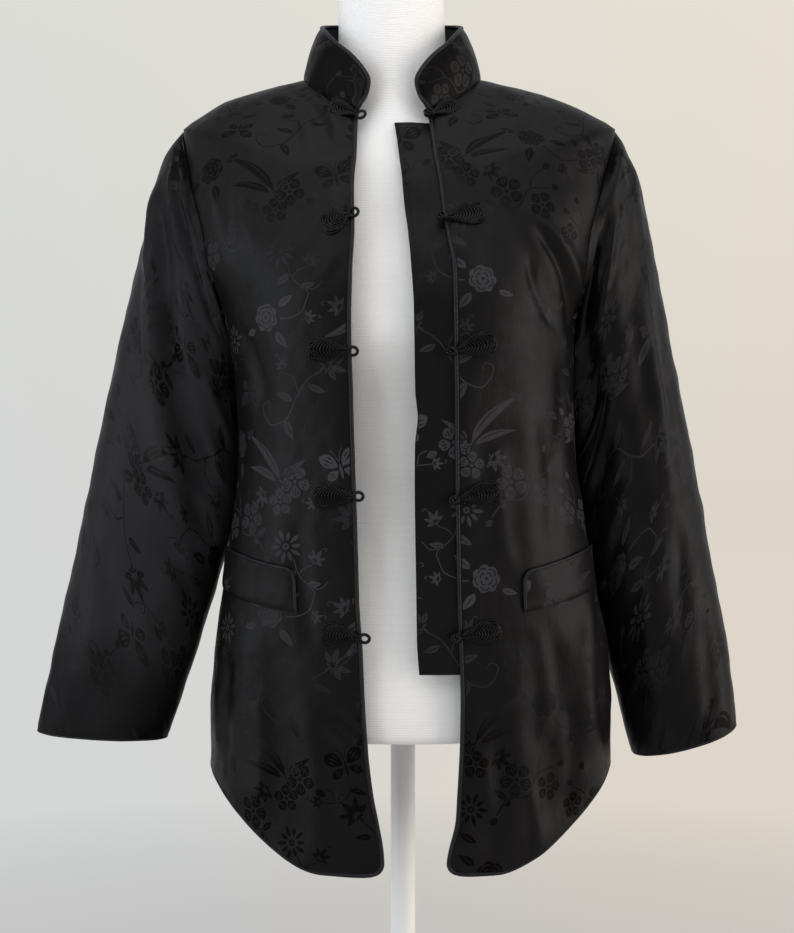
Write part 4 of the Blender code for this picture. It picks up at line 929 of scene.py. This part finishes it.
def make_panels():
    """Both fronts and the back, with the cords along their edges and hems."""
    for node, side in (("front_right", -1), ("front_left", 1), ("back", 0)):
        turns, levels = front_grid(side) if side else back_grid()
        flat = body_surface(turns, levels)
        normals = body_normals(turns, levels)
        across = arc_lengths(flat, 1, 0 if side else flat.shape[1] // 2)
        across = across + (front_edge(side, levels[:, :1]) if side else 0.0)
        up = WAIST + arc_lengths(flat, 0, int(np.argmin(np.abs(levels[:, 0] - WAIST))))
        lift = -1.1 * (dip(np.abs(across - across[:, :1]), 3.6)
                       + dip(np.abs(across - across[:, -1:]), 3.6))
        if side:
            lift = lift + edge_wave(side, turns, levels)
        outer = body_surface(turns, levels, lift)
        panel = cloth_shell(node, outer, outer - normals * WALL, across, up)
        if side:
            outline, up_way = (np.concatenate([grid[::-1, 0], grid[0, 1:]])
                               for grid in (outer, normals))
            share = ease((np.arange(len(outline)) - len(outer) + 2) / 14.0)
            radius = BOUND_CORD * (1 - share) + FINE_CORD * share
            path = softened(edge_path(outline, up_way, radius[:, None], centre(outer)))
            cord = make_cord("piping_" + node, *tube(path, radius, 10, up_way), PIPING)
        else:
            path = edge_path(outer[0], normals[0], FINE_CORD, centre(outer))
            cord = make_cord("piping_hem_back", *tube(path, FINE_CORD, 8, normals[0]), PIPING)


# ---------------------------------------------------------------- sleeves
def smooth_rings(knots, rings, at):
    """Rings of a sleeve read between its table's rows."""
    values = np.broadcast_to(rings.transpose(1, 0, 2)[None],
                             (len(at), rings.shape[1], rings.shape[0], 3))
    places = np.broadcast_to(np.asarray(at)[:, None], values.shape[:2])
    return curve_at(knots, values, places)


def armhole_ring(side, turns):
    """Points and normals of the armhole at turns: 0 top, 90 front, 180 armpit."""
    share = np.clip((1 + np.cos(np.radians(turns))) / 2, 0.0, 1.0)
    level = ARMHOLE_LOW + (ARMHOLE_HIGH - ARMHOLE_LOW) * share
    front = (turns % 360.0) <= 180.0
    reach = np.where(front, armhole_turn(level, ARMHOLE_FRONT), armhole_turn(level, ARMHOLE_BACK))
    away = np.maximum(reach, side_turn(level, SEAM))
    place = side * np.where(front, 90.0 - away, 90.0 + away)
    return body_surface(place, level), body_normals(place, level)


def table_ring(row, side, turns):
    """One ring of a sleeve from its table row."""
    _down, ox, oy, oz, ix, iy, iz, depth, drop = row
    outer = np.array((side * ox, oy, oz))
    inner = np.array((side * ix, iy, iz))
    middle, arm = (outer + inner) / 2, (outer - inner) / 2
    deep = unit(np.cross((0, 0, 1.0), arm * side)) * -depth
    deep = deep * (1 if deep[1] < 0 else -1) - np.array((0, 0, drop / 2.0))
    angle = np.radians(turns)
    power = 2.0 / SLEEVE_SQUARE
    along = np.sign(np.cos(angle)) * np.abs(np.cos(angle)) ** power
    fore = np.sign(np.sin(angle)) * np.abs(np.sin(angle)) ** power
    return middle + along[:, None] * arm + fore[:, None] * deep


def sleeve_lift(name, side, turns, down, across, along):
    """Height of a sleeve's creases, of its wadding, and of its seams, crown and cuff."""
    place, share = np.meshgrid(turns, down)
    creases = np.array(CREASES_SLEEVE[name])[:, (1, 0, 3, 2, 4, 5)]
    lift = crease_lift(place, share, creases, math.radians(SLEEVE_RADIUS), SLEEVE_LENGTH, 360.0)
    lift = lift * ease(along / 24.0)
    lift += 0.6 * ripple(across, along, 62.0, 3.0 + side) * ease(along / 30.0)
    lift += 0.35 * ripple(across, along, 27.0, 8.0 + side) * ease(along / 30.0)
    crown = ((1 + np.cos(np.radians(turns))) / 2) ** 2
    lift += (0.8 * crown - 1.0) * dip(along, 3.6)
    lift += (1.2 - 1.1 * crown) * np.exp(-((along - 15) / 8) ** 2)
    lift -= 0.7 * dip(np.abs(across - across[:, :1]), 3.5)
    lift -= 0.7 * dip(np.abs(across - across[:, -1:]), 3.5)
    return lift - 0.6 * dip(along[-1:] - along, 3.0)


def make_sleeves():
    """Both sleeves, cut under the arm, with the fine cord round each cuff."""
    for name, side in (("right", -1), ("left", 1)):
        table = SLEEVES[name]
        turns = SLEEVE_SEAM + np.linspace(0.0, 360.0, SLEEVE_COLUMNS)
        loop, loop_normals = armhole_ring(side, turns)
        loop = loop + np.array((side * 0.5, 0.0, 0.0))
        rings = np.stack([loop] + [table_ring(row, side, turns) for row in table])
        down = np.concatenate([np.linspace(0.0, 0.05, 12)[:-1],
                               np.linspace(0.05, 1.0, SLEEVE_ROWS)])
        grid = smooth_rings(np.concatenate([[0.0], table[:, 0]]), rings, down)
        around = np.gradient(grid, axis=1)
        around[:, 0] = around[:, -1] = (grid[:, 1] - grid[:, -2]) / 2
        normals = unit(np.cross(around, np.gradient(grid, axis=0)))
        if (normals * (grid - grid.mean(axis=1, keepdims=True))).sum() < 0:
            normals = -normals
        across = arc_lengths(grid, 1, int(np.argmin(np.abs(turns - 360.0))))
        along = arc_lengths(grid, 0, 0)
        outer = grid + normals * sleeve_lift(name, side, turns, down, across, along)[..., None]
        wall = np.full((len(down), 1, 1), WALL)
        wall[:3] = THIN_WALL
        top = ease(5.0 * (1 + np.cos(np.radians(turns))) / 2)[:, None]
        normals[0] = unit(top * loop_normals + (1 - top) * normals[0])
        sleeve = cloth_shell("sleeve_" + name, outer, outer - normals * wall, across, along,
                             ring=True)
        path = (outer[-1, :-1] - normals[-1, :-1] * WALL / 2
                + unit(outer[-1, :-1] - outer[-2, :-1]) * FINE_CORD * 0.8)
        cord = make_cord("piping_cuff_" + name,
                         *tube(path, FINE_CORD, 8, normals[-1, :-1], True), PIPING)


# ---------------------------------------------------------------- collar
def collar_grid(columns, rows):
    """Outer points of the stand collar and its outward normals."""
    start = float(turn_for_x(np.array(COLLAR_BASE_EDGE + 2 * BOUND_CORD), LEVELS[-1]))
    share = np.linspace(-1.0, 1.0, columns)
    side = np.where(share < 0, -1.0, 1.0)
    reach = 1.0 - np.abs(share)
    base = body_surface(side * (start + (180.0 - start) * reach), np.full(columns, LEVELS[-1]))
    top = np.stack([side * read(COLLAR_TOP, reach, 1), read(COLLAR_TOP, reach, 2),
                    read(COLLAR_TOP, reach, 3)], axis=1)
    up = np.linspace(0.0, 1.0, rows)[:, None, None]
    line = base + (top - base) * up
    outward = unit(line * (1.0, 1.0, 0.0))
    crease = np.zeros((rows, columns))
    for at, width, height, low, high in COLLAR_CREASES:
        fade = ease((up[..., 0] - low) / 0.3) * ease((high - up[..., 0]) / 0.3)
        crease += height * np.exp(-((share[None, :] - at) / width) ** 2) * fade
    bow = COLLAR_BOW * np.sin(np.pi * up) ** 0.8 + crease[..., None]
    roll = -0.9 * (dip(up, 0.06) + dip(1 - up, 0.06))
    grid = line + outward * (bow + roll) - np.array((0.0, 0.0, 1.2)) * (1 - up)
    normals = unit(np.cross(np.gradient(grid, axis=1), np.gradient(grid, axis=0)))
    if (normals * outward).sum() < 0:
        normals = -normals
    return grid, normals


def make_collar():
    """The stand collar and the bound cord along its ends and top."""
    outer, normals = collar_grid(150, 20)
    collar = cloth_shell("collar", outer, outer - normals * WALL, arc_lengths(outer, 1, 75),
                         arc_lengths(outer, 0, 0))
    outline, up_way = (np.concatenate([grid[:, 0], grid[-1, 1:-1], grid[::-1, -1]])
                       for grid in (outer, normals))
    below = outer[3, 75] - np.array((0.0, 60.0, 40.0))
    path = softened(edge_path(outline, up_way, BOUND_CORD, below), 3)
    cord = make_cord("piping_collar", *tube(path, BOUND_CORD, 10, up_way), PIPING)


# ---------------------------------------------------------------- placket and welts
def make_placket():
    """The under-placket inside the left front, with its stitches."""
    heights = np.linspace(PLACKET_BOTTOM, PLACKET_TOP, PLACKET_ROWS)
    edge = read(PLACKET_EDGE, heights)
    share = np.linspace(0.0, 1.0, PLACKET_COLUMNS)
    x = edge[:, None] + (PLACKET_HIDDEN - edge[:, None]) * share
    z = np.broadcast_to(heights[:, None], x.shape)
    turns, levels = turn_and_level(x, z)
    wave = 0.8 * ripple(x * 1.4, z, 66.0, 4.0) * (1 - share) - PLACKET_DEPTH
    outer = body_surface(turns, levels, wave)
    inner = outer - body_normals(turns, levels) * PLACKET_WALL
    across = arc_lengths(outer, 1, 0) + edge[:, None]
    placket = cloth_shell("under_placket", outer, inner, across, z)
    stitches = []
    for height in np.arange(1010.0, 1196.0, 7.0):
        x = float(read(PLACKET_EDGE, height)) + 4.5
        turn, level = turn_and_level((x, x + 0.2, x), (height, height + 1.7, height + 3.4))
        stitches.append((body_surface(turn, level, 0.25 - PLACKET_DEPTH), 0.32, 6,
                         body_normals(turn, level), False))
    points, faces = joined(stitches)
    make_piece("placket_stitches", leaned(points), faces, [CORD], [])


def make_welts():
    """The pocket welts with their cords."""
    for name in ("right", "left"):
        corners = np.array(WELTS[name], float)
        width = np.linalg.norm(corners[1] - corners[0])
        height = np.linalg.norm(corners[3] - corners[0])
        share = np.concatenate([np.linspace(0.0, WELT_CORNER / width, 9)[:-1],
                                np.linspace(WELT_CORNER / width, 1.0, 24)])
        from_end = np.clip(WELT_CORNER - share * width, 0.0, WELT_CORNER)
        drop = (WELT_CORNER - np.sqrt(WELT_CORNER ** 2 - from_end ** 2)) / height
        top = corners[0] * (1 - share)[:, None] + corners[1] * share[:, None]
        bottom = corners[3] * (1 - share)[:, None] + corners[2] * share[:, None]
        sag = np.array((0.0, -1.0)) * (3.0 * np.sin(np.pi * share))[:, None]
        top = top + sag * 0.6 + (bottom - top) * drop[:, None]
        bottom = bottom + sag
        up = np.linspace(0.0, 1.0, 14)[:, None, None]
        places = bottom * (1 - up) + top * up
        turns, levels = turn_and_level(places[..., 0], places[..., 1])
        lift = 0.6 + 2.5 * ease(up[..., 0] * 9.0) + 0.5 * np.sin(share * 9.0)
        outer = body_surface(turns, levels, lift)
        inner = body_surface(turns, levels, np.full(lift.shape, 0.3))
        normals = body_normals(turns, levels)
        welt = cloth_shell("welt_" + name, outer, inner, arc_lengths(outer, 1, 0),
                           arc_lengths(outer, 0, 0))
        outline, up_way = (np.concatenate([grid[:, 0], grid[-1, 1:]])
                           for grid in (outer, normals))
        path = edge_path(outline, up_way, WELT_CORD, centre(outer)) + up_way * 0.2
        cord = make_cord("piping_welt_" + name,
                         *tube(softened(path, 2), WELT_CORD, 10, up_way), PIPING)


# ---------------------------------------------------------------- frogs
def front_place(x, z):
    """Points of a front at x and z, and the outward normals there."""
    turn, level = turn_and_level(x, z)
    return body_surface(turn, level), body_normals(turn, level)


def neck_place(x, z):
    """Points in the bend between a front and the collar, and the normals there."""
    top = np.full(np.shape(x), LEVELS[-1])
    turn = turn_for_x(x, top)
    seam = body_surface(turn, top)
    upright = unit(seam * (1.0, 1.0, 0.0))
    normal = unit(upright * 1.6 + body_normals(turn, top))
    rise = unit(np.cross(np.cross(normal, (0.0, 0.0, 1.0)), normal))
    return seam + rise * (z - seam[..., 2])[..., None] + normal * 3.0, normal


def leaf_lines(length, scale):
    """The cords of a frog's leaf as (s along it, t across it, h above the cloth) in mm."""
    def width(s, past=0.0):
        return read(LEAF, np.clip(s / length + past, 0, 1)) * scale

    lines = []
    turn = np.linspace(-1.0, 1.0, 13)
    for rib in range(int((length - 6.0) / RIB_PITCH)):
        s = 4.0 + rib * RIB_PITCH + (8.5 - 0.2 * rib) * np.abs(turn) ** 1.4
        inside = s < length - 0.5
        if inside.sum() < 5:
            continue
        t = np.sign(turn) * np.abs(turn) ** 0.85 * width(s) * 0.97
        h = 1.0 + 2.3 * (1 - 0.55 * turn ** 2) + 0.25 * np.sin(np.pi * turn)
        lines.append((s[inside], t[inside], h[inside]))
    bend = np.linspace(-1.0, 1.0, 25)
    for inset, height, reach in ((0.0, 1.15, 0.62), (2.1, 2.5, 0.34)):
        s = 0.6 + inset + reach * length * np.abs(bend) ** 2.2
        t = np.sign(bend) * (width(s, 0.02) - inset) * np.minimum(1.0, np.abs(bend) * 2.6) ** 0.6
        lines.append((s, t, height))
    for t in (-3.6, -1.2, 1.2, 3.6):
        lines.append((np.linspace(1.6 + 0.12 * t * t, 9.0, 6), t * scale, 2.6 - 0.03 * t * t))
    for t in (-1.3, 1.3):
        lines.append((np.linspace(length - 9.0, length + 2.0, 6), t, 2.6))
    return lines


def knot_runs(middle, normal):
    """A ball knot: two closed cords that wind over and under round a ball."""
    aside = unit(np.cross(normal, (0.0, 0.0, 1.0)))
    basis = np.stack([aside, np.cross(aside, normal), normal])
    lap = np.linspace(0.0, 2 * np.pi, 91)[:-1]
    latitude, longitude = 0.98 * np.sin(3 * lap), 2 * lap
    ball = 4.3 + 0.5 * np.cos(6 * lap)
    local = np.stack([ball * np.cos(latitude) * np.cos(longitude),
                      ball * np.cos(latitude) * np.sin(longitude), ball * np.sin(latitude)], axis=1)
    runs = []
    for size, axes in ((1.0, [0, 2, 1]), (0.86, [2, 0, 1])):
        path = middle + size * local[:, axes] @ basis
        runs.append((path, KNOT_CORD, 8, unit(path - middle), True))
    return runs


def make_frog(node, kind, place, find, scale):
    """Half a frog: a leaf of plaited cord on a pad, that ends in a loop or a ball knot."""
    start, stop = np.array(place[:2], float), np.array(place[2:], float)
    length = np.linalg.norm(stop - start)
    ahead = (stop - start) / length
    aside = np.array((-ahead[1], ahead[0]))

    def route(s, t, h):
        """Points at s along the leaf, t across it and h above the cloth, and normals."""
        s, t, h = (np.asarray(v, float) for v in np.broadcast_arrays(s, t, h))
        flat = start + ahead * np.minimum(s, length + 1.0)[..., None] + aside * t[..., None]
        point, normal = find(flat[..., 0], flat[..., 1])
        past = np.maximum(s - length - 1.0, 0.0)
        across = unit(np.cross(normal, (ahead[0], 0.0, ahead[1])))
        onward = np.cross(across, normal)
        return point + onward * past[..., None] + normal * h[..., None], normal

    runs = []
    for line in leaf_lines(length, scale):
        point, normal = route(*line)
        runs.append((point, FROG_CORD, 7, normal, False))
    if kind == "loop":
        angle = np.arange(22) * 2 * np.pi / 22
        point, normal = route(length + 6.4 + 4.6 * np.cos(angle), 3.9 * np.sin(angle),
                              2.3 + 0.6 * np.cos(angle))
        runs.append((point, LOOP_CORD, 10, normal, True))
    else:
        point, normal = route(np.array([length + 7.2]), 0.0, 5.6)
        runs += knot_runs(point[0], normal[0])
    points, faces = joined(runs)
    pad = []
    angle = np.arange(14) * 2 * np.pi / 14
    for share in np.linspace(0.03, 1.0, 13):
        wide = max(float(read(LEAF, share)) * scale - 1.2, 0.6)
        point, normal = route(np.full(14, share * length), wide * np.cos(angle), 1.4)
        pad.append(point + normal * np.sin(angle)[:, None])
    faces += ring_faces(len(pad), 14, len(points))
    make_cord(node, np.concatenate([points] + pad), faces, CORD)


def make_frogs():
    """Five frogs with a loop and five with a ball knot; the pair at the neck is smaller."""
    for kind, places in FROGS.items():
        for number, place in enumerate(places, 1):
            at_neck = number == 1
            make_frog("frog_%s_%d" % (kind, number), kind, place,
                      neck_place if at_neck else front_place, 0.72 if at_neck else 1.0)


# ---------------------------------------------------------------- dress form
def oval(half, fore, aft, square, z, sides):
    """A closed ring of points of an oval section."""
    angle = np.arange(sides) * 2 * np.pi / sides
    power = 2.0 / square
    x = half * np.sign(np.sin(angle)) * np.abs(np.sin(angle)) ** power
    deep = np.where(np.cos(angle) > 0, fore, aft)
    y = -deep * np.sign(np.cos(angle)) * np.abs(np.cos(angle)) ** power
    return np.stack([x, y, np.full(sides, float(z))], axis=1)


def make_turned(name, rings, look, node, lean=True):
    """A closed solid through rings of points, bottom to top."""
    points = np.concatenate(rings)
    make_piece(name, leaned(points) if lean else points, ring_faces(len(rings), len(rings[0])),
               [look], [node], sharp=40)


def make_form():
    """The torso, its neck cap, the pole and the base."""
    rings = [oval(152 * s, 92 * s, 100 * s, 2.2, z, 128) for s, z in ((0.9, 600.0), (0.97, 600.1))]
    for z in np.concatenate([[601, 603, 606, 610], np.arange(616.0, 1366.0, 6.0), [1366]]):
        half, fore, aft, square = (float(read(FORM, z, k)) for k in (1, 2, 3, 4))
        ring = oval(half, fore, aft, square, z, 128)
        ring[:, 1] -= (float(read(THROAT, z)) * np.exp(-(ring[:, 0] / THROAT_HALF) ** 2)
                       * ease(-ring[:, 1] / 20.0))
        rings.append(ring)
    make_turned("form_torso", rings, JERSEY, "form_body")
    rings = [oval(53 * s, 52 * s, 53 * s, 2.0, 1366 + r, 96) for r, s in NECK_CAP]
    make_turned("form_cap", rings, CAP, "form_neck_cap")
    rings = [oval(12.5, 12.5, 12.5, 2.0, z, 64) for z in np.linspace(12.4, 599.4, 9)]
    make_turned("form_rod", rings, PAINT, "form_pole", lean=False)
    rings = [oval(r, r, r, 2.0, z, 144) for z, r in BASE_PLATE]
    make_turned("form_plate", rings, PAINT, "form_base", lean=False)


# ---------------------------------------------------------------- materials
class Tree:
    """The nodes of a material or world, added by short calls."""

    def __init__(self, owner):
        owner.use_nodes = True
        self.nodes, self.links = owner.node_tree.nodes, owner.node_tree.links

    def feed(self, socket, value):
        """Give a socket a number, a vector, a colour or another node's output."""
        if isinstance(value, bpy.types.NodeSocket):
            self.links.new(value, socket)
        elif socket.type == "RGBA":
            socket.default_value = (*value, 1.0)
        else:
            socket.default_value = value

    def add(self, kind, output, inputs, **settings):
        """A new node with its settings and inputs; gives one of its outputs."""
        node = self.nodes.new("ShaderNode" + kind)
        for setting, value in settings.items():
            setattr(node, setting, value)
        for socket, value in inputs.items():
            self.feed(node.inputs[socket], value)
        return node.outputs[output]

    def noise(self, scale, detail=2.0, rough=0.55, stretch=None):
        """Noise over object space, scale in waves a metre."""
        place = self.place
        if stretch:
            place = self.add("Mapping", "Vector", {"Vector": place, "Scale": stretch})
        return self.add("TexNoise", "Fac", {"Vector": place, "Scale": scale, "Detail": detail,
                                            "Roughness": rough})

    def wave(self, direction, pitch, warp=0.0):
        """Even bands across one direction of object space; pitch in metres."""
        return self.add("TexWave", "Fac", {"Vector": self.place, "Detail": 1.0,
                                           "Scale": 2 * math.pi / (20.0 * pitch),
                                           "Distortion": warp}, bands_direction=direction)

    def calculate(self, kind, *values):
        """One step of arithmetic between sockets or numbers."""
        return self.add("Math", 0, dict(enumerate(values)), operation=kind)

    def remap(self, value, low, high, new_low=0.0, new_high=1.0):
        return self.add("MapRange", "Result", {"Value": value, "From Min": low, "From Max": high,
                                               "To Min": new_low, "To Max": new_high})

    def part(self, vector, axis):
        return self.add("SeparateXYZ", axis, {"Vector": vector})

    def mixed(self, factor, one, two):
        """A colour between two colours or sockets."""
        return self.add("Mix", 2, {0: factor, 6: one, 7: two}, data_type="RGBA")

    def ramp(self, value, *stops):
        """Colours along a value: (position, colour)."""
        colour = self.add("ValToRGB", "Color", {"Fac": value})
        band = colour.node.color_ramp
        while len(band.elements) < len(stops):
            band.elements.new(0.5)
        for element, (at, shade) in zip(band.elements, stops):
            element.position = at
            element.color = (*shade, 1.0)
        return colour


class Look(Tree):
    """A material with its shader, its place in object space and soft patches of tone."""

    def __init__(self, name, roughness, **sockets):
        self.made = bpy.data.materials.new(name)
        super().__init__(self.made)
        self.shader = self.nodes["Principled BSDF"].inputs
        self.feed(self.shader["Roughness"], roughness)
        for socket, value in sockets.items():
            self.feed(self.shader[socket.replace("_", " ")], value)
        self.place = self.add("TexCoord", "Object", {})

    def patches(self, dark, pale, scale, detail=2.0, low=0.3, high=0.7):
        """Base colour that drifts between two tones."""
        tones = self.ramp(self.noise(scale, detail), (low, dark), (high, pale))
        self.feed(self.shader["Base Color"], tones)

    def bump(self, *layers):
        """Bump from several heights in a row: (height, strength, metres)."""
        before = {}
        for height, strength, metres in layers:
            before = {"Normal": self.add("Bump", "Normal", {
                "Strength": strength, "Distance": metres, "Height": height, **before})}
        self.feed(self.shader["Normal"], before["Normal"])


def satin(name, dark, pale, roughness, weave, **sockets):
    """Black satin: fine twill bump, soft patches of tone and small puckers."""
    look = Look(name, roughness, **sockets)
    look.patches(dark, pale, 7.0, low=0.30, high=0.72)
    worn = look.remap(look.noise(23.0, 3.0), 0.0, 1.0, roughness - 0.05, roughness + 0.07)
    look.feed(look.shader["Roughness"], worn)
    threads = look.calculate("ADD", look.wave("DIAGONAL", 0.0011), look.wave("Z", 0.0009))
    pucker = look.noise(60.0, 3.0, 0.6, (1.0, 1.0, 0.55))
    look.bump((pucker, 0.35, 0.0022), (threads, weave, 0.0002))
    return look


def figure_satin():
    """The woven figure, with painted sheen and shade: a pale grey sheen painted in the middle of
    the body, painted darker than the ground near the shoulders and the hem, and different from
    spray to spray."""
    dark, painted_sheen = (0.0012, 0.0009, 0.0009), (0.042, 0.041, 0.046)
    look = satin("damask_figure", dark, dark, 0.36, 0.25, Specular_IOR_Level=0.04,
                 Anisotropic=0.2)
    tone = look.add("Attribute", "Fac", {}, attribute_name="tone")
    # Painted sheen and shade by height: a pale grey sheen in the middle of the body, the dark
    # figure towards the shoulders and the hem; each spray's tone scales the sheen.
    drift = look.calculate("MULTIPLY", look.calculate("SUBTRACT", look.noise(5.0), 0.5), 0.55)
    height = look.remap(look.calculate("ADD", look.part(look.place, "Z"), drift), 0.50, 1.30)
    middle = look.ramp(height, (0.10, (0.0, 0.0, 0.0)), (0.36, (1.0, 1.0, 1.0)),
                       (0.66, (1.0, 1.0, 1.0)), (0.86, (0.08, 0.08, 0.08)))
    level = look.calculate("MULTIPLY", look.calculate("MULTIPLY_ADD", tone, 0.75, 0.25), middle)
    look.feed(look.shader["Base Color"], look.mixed(level, dark, painted_sheen))
    return look


def cord_look(name, dark, pale, roughness, twist):
    """Black cord with the twist of its strands."""
    look = Look(name, roughness, Specular_IOR_Level=0.16)
    look.patches(dark, pale, 90.0)
    look.bump((look.wave("DIAGONAL", twist, 1.2), 0.5, 0.0003), (look.noise(900.0), 0.3, 0.0002))
    return look


def jersey_look():
    """White jersey: fine courses across and wales up, with faint patches of tone that drift at
    random.
    """
    look = Look("form_jersey", 0.82, Sheen_Weight=0.25)
    look.patches((0.78, 0.78, 0.79), (0.84, 0.84, 0.84), 6.0)
    look.bump((look.noise(18.0), 0.25, 0.004), (look.wave("Z", 0.0017, 0.25), 0.5, 0.0004),
              (look.wave("X", 0.0013, 0.25), 0.22, 0.0003))
    return look


def paint_look(name, dark, pale, roughness, grain):
    """White paint or plastic with faint unevenness."""
    look = Look(name, roughness, Coat_Weight=0.1)
    look.patches(dark, pale, 11.0, 3.0)
    look.bump((look.noise(grain), 0.12, 0.0004))
    return look


def backdrop(tree, heading):
    """Background colour by heading, with painted window light: cooler on the left, warmer on the
    right, paler high up.
    """
    across = tree.remap(tree.part(heading, "X"), -0.26, 0.26)
    rise = tree.remap(tree.part(heading, "Z"), -0.02, 0.30)
    return tree.mixed(rise, tree.mixed(across, *BACKDROP_LEVEL), tree.mixed(across, *BACKDROP_HIGH))


def floor_look(colour, near, far):
    """The floor: pale, and even with the background far from the object, where it glows in the
    backdrop's painted colours instead of being lit.
    """
    look = Look("floor", 0.9)
    look.patches(colour, tuple(c * 1.02 for c in colour), 3.0)
    distance = look.add("VectorMath", "Value", {0: look.place}, operation="LENGTH")
    heading = look.add("VectorMath", "Vector", {0: look.place}, operation="NORMALIZE")
    # Painted light: a glow in the backdrop colours, on a floor that is no lamp.
    glow = look.add("Emission", 0, {"Color": backdrop(look, heading)})
    shaded = look.nodes["Principled BSDF"].outputs[0]
    blend = look.add("MixShader", 0, {0: look.remap(distance, near, far), 1: shaded, 2: glow})
    look.feed(look.nodes["Material Output"].inputs["Surface"], blend)
    return look


# ---------------------------------------------------------------- studio
# Soft rectangular lights: (name, place, aim, size, power, colour).
LIGHTS = (
    ("window_left", (-2.6, -1.6, 1.35), (0.0, 0.0, 0.90), (2.4, 2.6), 50.0, (0.90, 0.95, 1.0)),
    ("window_right", (2.8, -1.0, 1.15), (0.0, 0.0, 0.85), (2.2, 2.4), 62.0, (1.0, 0.93, 0.86)),
    ("ceiling", (0.0, -1.2, 3.0), (0.0, 0.1, 0.9), (3.0, 2.4), 39.0, (1.0, 0.98, 0.96)),
)


def put(name, data, at=(0.0, 0.0, 0.0), turn=(0.0, 0.0, 0.0)):
    """An object in the scene at a place and rotation."""
    made = bpy.data.objects.new(name, data)
    made.location = at
    made.rotation_euler = turn
    bpy.context.scene.collection.objects.link(made)
    return made


def make_camera():
    lens = bpy.data.cameras.new("camera")
    lens.sensor_width = 36.0
    lens.lens = lens.sensor_width * -CAMERA[1] / VIEW_HEIGHT
    lens.clip_end = 200.0
    bpy.context.scene.camera = put("camera", lens, CAMERA, (math.radians(90.0), 0.0, 0.0))


def make_lights():
    for name, at, aim, size, power, colour in LIGHTS:
        lamp = bpy.data.lights.new(name, "AREA")
        lamp.shape = "RECTANGLE"
        lamp.size, lamp.size_y = size
        lamp.energy = power
        lamp.color = colour
        direction = Vector(aim) - Vector(at)
        put(name, lamp, at, direction.to_track_quat("-Z", "Y").to_euler())


def make_world():
    """Even background for the camera, and soft light that is brighter from behind."""
    world = bpy.data.worlds.new("studio")
    bpy.context.scene.world = world
    tree = Tree(world)
    seen = tree.nodes["Background"]
    heading = tree.add("TexCoord", "Generated", {})
    tree.feed(seen.inputs["Color"], backdrop(tree, heading))
    strength = tree.remap(tree.part(heading, "Y"), -1.0, 0.6, 0.16, 0.62)
    lit = tree.add("Background", 0, {"Color": (0.95, 0.96, 1.0), "Strength": strength})
    blend = tree.add("MixShader", 0, {0: tree.add("LightPath", "Is Camera Ray", {}), 1: lit,
                                      2: seen.outputs[0]})
    tree.feed(tree.nodes["World Output"].inputs["Surface"], blend)


def make_floor():
    floor = bpy.data.meshes.new("floor")
    angle = np.arange(96) * 2 * np.pi / 96
    ring = FLOOR_RADIUS * np.stack([np.cos(angle), np.sin(angle), 0 * angle], axis=1)
    floor.from_pydata(ring.tolist(), [], [tuple(range(96))])
    floor.materials.append(floor_look((0.62, 0.61, 0.60), 0.5, 2.4).made)
    put("floor", floor)


bpy.context.scene.view_settings.view_transform = "Standard"
make_camera()
make_world()
make_lights()
make_floor()
GROUND = satin("damask_ground", (0.0026, 0.0024, 0.0027), (0.0044, 0.0040, 0.0043), 0.38, 0.25,
               Specular_IOR_Level=0.115, Anisotropic=0.3).made
FIGURE = figure_satin().made
LINING = satin("lining", (0.046, 0.046, 0.047), (0.060, 0.060, 0.062), 0.5, 0.2,
               Specular_IOR_Level=0.25).made
PIPING = cord_look("bound_piping", (0.006, 0.006, 0.008), (0.011, 0.011, 0.014), 0.40, 0.0024).made
CORD = cord_look("frog_cord", (0.0008, 0.0008, 0.0010), (0.0018, 0.0018, 0.0022), 0.36, 0.0016).made
JERSEY = jersey_look().made
CAP = paint_look("neck_cap", (0.74, 0.74, 0.73), (0.80, 0.80, 0.79), 0.6, 300.0).made
PAINT = paint_look("white_paint", (0.76, 0.76, 0.75), (0.82, 0.82, 0.81), 0.35, 160.0).made
make_form()
make_panels()
make_sleeves()
make_collar()
make_placket()
make_welts()
make_frogs()
